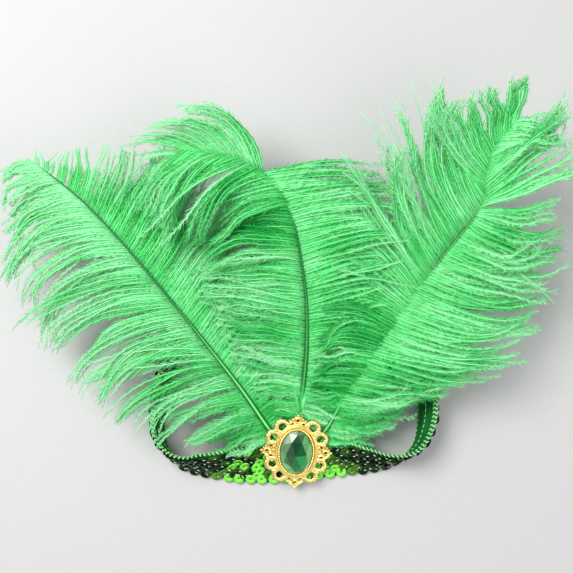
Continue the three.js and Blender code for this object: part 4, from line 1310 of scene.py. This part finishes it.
def thread_paint(name, colour):
    """Thread: a twist along Object coordinates as bump, with a little change in shade."""
    paint = Paint(name)
    twist = paint.node(
        "ShaderNodeTexWave", {"wave_type": "BANDS", "bands_direction": "DIAGONAL"},
        {"Vector": paint.place(), "Scale": 900.0, "Distortion": 2.0}, 1,
    )
    shade = paint.mix(twist, tuple(0.6 * value for value in colour), colour)
    bump = paint.bump(twist, 0.4, 0.0002)
    return paint.set(Base_Color=shade, Roughness=0.5, Sheen_Weight=0.4, Normal=bump)


def sequin_paint(settings):
    """Sequins: glossy green foil, from near black to lime by each disc's tint, which is partly painted
    reflected light, with a paler rim, a painted highlight.
    """
    paint = Paint("sequin_foil")
    cloud = paint.noise(420.0)
    tint = paint.attribute("tint") + (cloud - 0.5) * 0.25
    face = paint.ramp(tint, [(0.1, settings.dark), (0.5, settings.olive), (0.85, settings.lime)])
    # Painted highlight: the rim of each disc is paler
    rim = paint.ramp(paint.attribute("rim"), [(0.8, (0, 0, 0)), (1.0, (0.5, 0.5, 0.5))])
    colour = paint.mix(rim, face, paint.mix(1.0, face, settings.rim, "SCREEN"))
    return paint.set(
        Base_Color=colour, Roughness=0.22 + cloud * 0.2, Metallic=0.3, Specular_IOR_Level=0.15,
    )


def gold_paint(settings):
    """Cast gold plate: gold on the raised work, orange painted shade in the recesses, which are also
    rougher, and near black painted shade in the holes.
    """
    paint = Paint("gold_plate")
    grain = paint.noise(1500.0, 3.0)
    cloud = paint.noise(300.0)
    relief = paint.attribute("relief")
    hole = paint.attribute("hole")
    # Painted shade: low relief takes the orange recess colour, and holes go near black
    colour = paint.ramp(relief + (cloud - 0.5) * 0.5, [(0.1, settings.recess_shade), (0.7, settings.gold)])
    return paint.set(
        Base_Color=paint.mix(hole, colour, (0.012, 0.02, 0.008)), Metallic=1.0 - hole,
        Roughness=0.44 - 0.14 * relief + (grain - 0.5) * 0.12, Normal=paint.bump(grain, 0.22, 0.0002),
    )


def stone_paint():
    """Foil-backed stone: each facet's own tint, a painted reflection, clouded a little, under a clear
    polished coat.
    """
    paint = Paint("cut_stone")
    cloud = paint.noise(260.0)
    colour = paint.mix(cloud * 0.3, paint.attribute("facet", 0), (0.02, 0.12, 0.04))
    return paint.set(
        Base_Color=colour, Roughness=0.09 + cloud * 0.06, Coat_Weight=0.12, Coat_Roughness=0.02,
        Specular_IOR_Level=0.08,
    )


def floor_paint(settings):
    """Pale paper floor with a faint grain."""
    paint = Paint("pale_floor")
    low = tuple(0.94 * value for value in settings.floor_colour)
    colour = paint.mix(paint.noise(350.0), low, settings.floor_colour)
    return paint.set(Base_Color=colour, Roughness=0.85, Specular_IOR_Level=0.2)


def count_property(name, description, default):
    return bpy.props.IntProperty(name=name, description=description, default=default, min=1)


def number_property(name, description, default, unit="NONE"):
    return bpy.props.FloatProperty(
        name=name, description=description, default=default, unit=unit, precision=5,
    )


def length_property(name, description, default):
    return number_property(name, description, default, "LENGTH")


def share_property(name, description, default):
    return bpy.props.FloatProperty(
        name=name, description=description, default=default, subtype="FACTOR", min=0, max=1,
    )


def colour_property(name, description, default):
    return bpy.props.FloatVectorProperty(
        name=name, description=description, default=default, subtype="COLOR", size=3, min=0, max=1,
    )


class PlumeSettings(bpy.types.PropertyGroup):
    """Sizes and colours of the plumes."""

    barbs: count_property("Barbs", "Barbs on each vane", 210)
    down_barbs: count_property("Down", "Short barbs round the roots", 190)
    barbules: count_property("Barbules", "Needle barbules on a barb", 106)
    barbs_per_lock: number_property("Lock", "Mean barbs in a lock", 5.0)
    first_barb: share_property("First barb", "Share of the quill where barbs start", 0.05)
    last_barb: share_property("Last barb", "Share of the quill where barbs end", 0.98)
    fluffy_share: share_property("Fluffy", "Share of the quill whose barbs are fluffy", 0.36)
    stray_share: share_property("Strays", "Share of barbs that leave their lock", 0.07)
    ruffled_share: share_property("Ruffled strays", "Share of strays where a vane is ruffled", 0.24)
    # Ridge, barbule and web shades set the painted highlight on the ridges and the painted shade under them
    ridge_shade: share_property("Ridge shade", "Paleness of a barb's ridge", 0.80)
    barbule_shade: share_property("Barbule shade", "Paleness of a barbule", 0.50)
    web_shade: share_property("Web shade", "Paleness of the web under a barb", 0.45)
    sway: length_property("Sway", "Side waves of a barb", 0.0012)
    ridge_width: length_property("Ridge width", "Width of a barb's ridge at its root", 0.0008)
    web_width: length_property("Web width", "Width of the web under a barb of a full vane", 0.0026)
    barbule_length: length_property("Barbule length", "Length of a needle barbule", 0.0056)
    barbule_width: length_property("Barbule width", "Width of a needle barbule at its root", 0.0004)
    # Deep is painted shade in the valleys between barbs, and pale the painted highlight on ridges and stray
    # tips
    deep: colour_property("Deep", "Green in the valleys between barbs", (0.012, 0.37, 0.055))
    middle: colour_property("Middle", "Green of most barbs", (0.095, 0.72, 0.18))
    pale: colour_property("Pale", "Green of ridges and stray tips", (0.36, 0.93, 0.46))
    # Quill edge is partly painted shade on the quill's sides, and quill stripe a painted highlight along
    # its top
    quill_edge: colour_property("Quill edge", "Dark sides of the quill", (0.01, 0.15, 0.028))
    quill_stripe: colour_property("Quill stripe", "Pale stripe along the quill", (0.20, 0.80, 0.20))


class BandSettings(bpy.types.PropertyGroup):
    """Sizes and colours of the elastic and its stitches."""

    width: length_property("Width", "Width of the elastic", 0.022)
    thickness: length_property("Thickness", "Thickness of the elastic", 0.001)
    flat_length: length_property("Flat length", "Length of the elastic before it was joined", 0.443)
    deep: colour_property("Deep", "Dark green between the cords", (0.003, 0.07, 0.012))
    pale: colour_property("Pale", "Green on the cords", (0.012, 0.24, 0.045))
    thread: colour_property("Thread", "Pale green stitch thread", (0.36, 0.92, 0.30))


class SequinSettings(bpy.types.PropertyGroup):
    """Sizes and colours of the sequin rows."""

    radius: length_property("Radius", "Radius of a sequin", 0.0029)
    cup: length_property("Cup", "Rise of a disc's rim over its middle", 0.0004)
    lowest_row: length_property("Lowest row", "Height of the lowest row up the band", 0.0024)
    highest_row: length_property("Highest row", "Height of the highest row up the band", 0.0186)
    rows: count_property("Rows", "Rows of sequins", 7)
    count: count_property("Count", "Sequins in a row", 70)
    # The bright reaches hold painted reflected light at the front; the rim colour is a painted highlight
    bright_left: length_property("Bright left", "Reach of bright sequins left of the front", 0.032)
    bright_right: length_property("Bright right", "Reach of bright sequins right of the front", 0.023)
    dark: colour_property("Dark", "Near black green discs", (0.003, 0.014, 0.004))
    olive: colour_property("Olive", "Olive green discs", (0.06, 0.17, 0.01))
    lime: colour_property("Lime", "Lime green discs", (0.24, 0.86, 0.09))
    rim: colour_property("Rim", "Light on the rim of a disc", (0.10, 0.20, 0.06))


class BroochSettings(bpy.types.PropertyGroup):
    """Sizes and colours of the brooch."""

    loop_radius: length_property("Loop radius", "Radius of a wire loop", 0.0031)
    loop_wire: length_property("Loop wire", "Half the thickness of a loop's wire", 0.00118)
    gold: colour_property("Gold", "Raised gold work", (1.0, 0.79, 0.28))
    # Recess is painted shade: the orange that the gold takes in its recesses
    recess_shade: colour_property("Recess", "Orange of the recesses", (0.86, 0.58, 0.14))


class StageSettings(bpy.types.PropertyGroup):
    """Floor, lights and camera."""

    floor_colour: colour_property("Floor", "Colour of the floor", (0.54, 0.54, 0.53))
    camera_height: length_property("Camera height", "Height of the camera above the floor", 0.48)
    lens: number_property("Lens", "Focal length in millimetres", 54.2, "CAMERA")
    key_power: number_property("Key light", "Power of the key light", 9.0, "POWER")
    fill_power: number_property("Fill light", "Power of the fill light", 3.0, "POWER")


class HEADBAND_OT_plumes(bpy.types.Operator):
    """Make the three plumes, a quill and two vanes each, and the down at their roots"""

    bl_idname = "headband.plumes"
    bl_label = "Plumes"

    def execute(self, context):
        settings = context.scene.headband_plumes
        feather = feather_paint(settings)
        quill = quill_paint(settings)
        for number, plume in enumerate(PLUMES):
            make_quill(plume, quill)
            for side_name, seed in VANE_SEEDS.items():
                make_vane(plume, side_name, settings, seed + number, feather)
        make_down(settings, DOWN_SEED, feather)
        return {"FINISHED"}


class HEADBAND_OT_elastic(bpy.types.Operator):
    """Make the woven elastic and its stitches"""

    bl_idname = "headband.elastic"
    bl_label = "Elastic"

    def execute(self, context):
        settings = context.scene.headband_band
        band = make_elastic(settings, elastic_paint(settings))
        stitches = make_stitches(settings, thread_paint("stitch_thread", settings.thread))
        return {"FINISHED"}


class HEADBAND_OT_sequins(bpy.types.Operator):
    """Make the rows of sequins and their threads"""

    bl_idname = "headband.sequins"
    bl_label = "Sequins"

    def execute(self, context):
        settings = context.scene.headband_sequins
        dash_paint = thread_paint("sequin_thread", SEQUIN_THREAD)
        make_sequins(settings, SEQUIN_SEED, sequin_paint(settings), dash_paint)
        return {"FINISHED"}


class HEADBAND_OT_brooch(bpy.types.Operator):
    """Make the gold setting and the cut stone"""

    bl_idname = "headband.brooch"
    bl_label = "Brooch"

    def execute(self, context):
        settings = context.scene.headband_brooch
        make_setting(settings, gold_paint(settings))
        make_stone(stone_paint())
        return {"FINISHED"}


class HEADBAND_OT_stage(bpy.types.Operator):
    """Make the floor, the lights and the camera"""

    bl_idname = "headband.stage"
    bl_label = "Stage"

    def execute(self, context):
        settings = context.scene.headband_stage
        scene = context.scene
        mesh = bpy.data.meshes.new("floor")
        signs = ((-1, -1), (1, -1), (1, 1), (-1, 1))
        mesh.from_pydata([(x * FLOOR_HALF, y * FLOOR_HALF, 0) for x, y in signs], [], [(0, 1, 2, 3)])
        mesh.materials.append(floor_paint(settings))
        floor = bpy.data.objects.new("floor", mesh)
        scene.collection.objects.link(floor)
        for name, place, size, power in LIGHTS:
            light = bpy.data.lights.new(name, "AREA")
            light.size = size
            light.energy = getattr(settings, power)
            lamp = bpy.data.objects.new(name, light)
            lamp.location = place
            x, y, z = place
            lamp.rotation_euler = (np.arctan2(np.hypot(x, y), z), 0.0, np.arctan2(-y, -x) - np.pi / 2)
            scene.collection.objects.link(lamp)
        world = bpy.data.worlds.new("soft_sky")
        world.use_nodes = True
        colour, strength = world.node_tree.nodes["Background"].inputs[:2]
        colour.default_value = SKY_COLOUR
        strength.default_value = SKY_STRENGTH
        scene.world = world
        scene.view_settings.view_transform = "Standard"
        camera = bpy.data.cameras.new("camera")
        camera.sensor_width = SENSOR_WIDTH
        camera.lens = settings.lens
        view = bpy.data.objects.new("camera", camera)
        view.location = (*CAMERA_PLACE, settings.camera_height)
        scene.collection.objects.link(view)
        scene.camera = view
        return {"FINISHED"}


class HEADBAND_PT_sidebar(bpy.types.Panel):
    """Lists the headband's pieces"""

    bl_idname = "HEADBAND_PT_sidebar"
    bl_label = "Feather headband"
    bl_space_type = "VIEW_3D"
    bl_region_type = "UI"
    bl_category = "Headband"

    def draw(self, context):
        for operator in OPERATORS:
            self.layout.operator(operator.bl_idname)


SETTINGS = {
    "headband_plumes": PlumeSettings,
    "headband_band": BandSettings,
    "headband_sequins": SequinSettings,
    "headband_brooch": BroochSettings,
    "headband_stage": StageSettings,
}
OPERATORS = (
    HEADBAND_OT_stage, HEADBAND_OT_elastic, HEADBAND_OT_sequins, HEADBAND_OT_plumes, HEADBAND_OT_brooch,
)
CLASSES = (*SETTINGS.values(), *OPERATORS, HEADBAND_PT_sidebar)


def register():
    for item in CLASSES:
        bpy.utils.register_class(item)
    for name, group in SETTINGS.items():
        setattr(bpy.types.Scene, name, bpy.props.PointerProperty(type=group))


def unregister():
    for name in SETTINGS:
        delattr(bpy.types.Scene, name)
    for item in reversed(CLASSES):
        bpy.utils.unregister_class(item)


def main():
    register()
    bpy.ops.headband.stage()
    bpy.ops.headband.elastic()
    bpy.ops.headband.sequins()
    bpy.ops.headband.plumes()
    bpy.ops.headband.brooch()


if __name__ == "__main__":
    main()
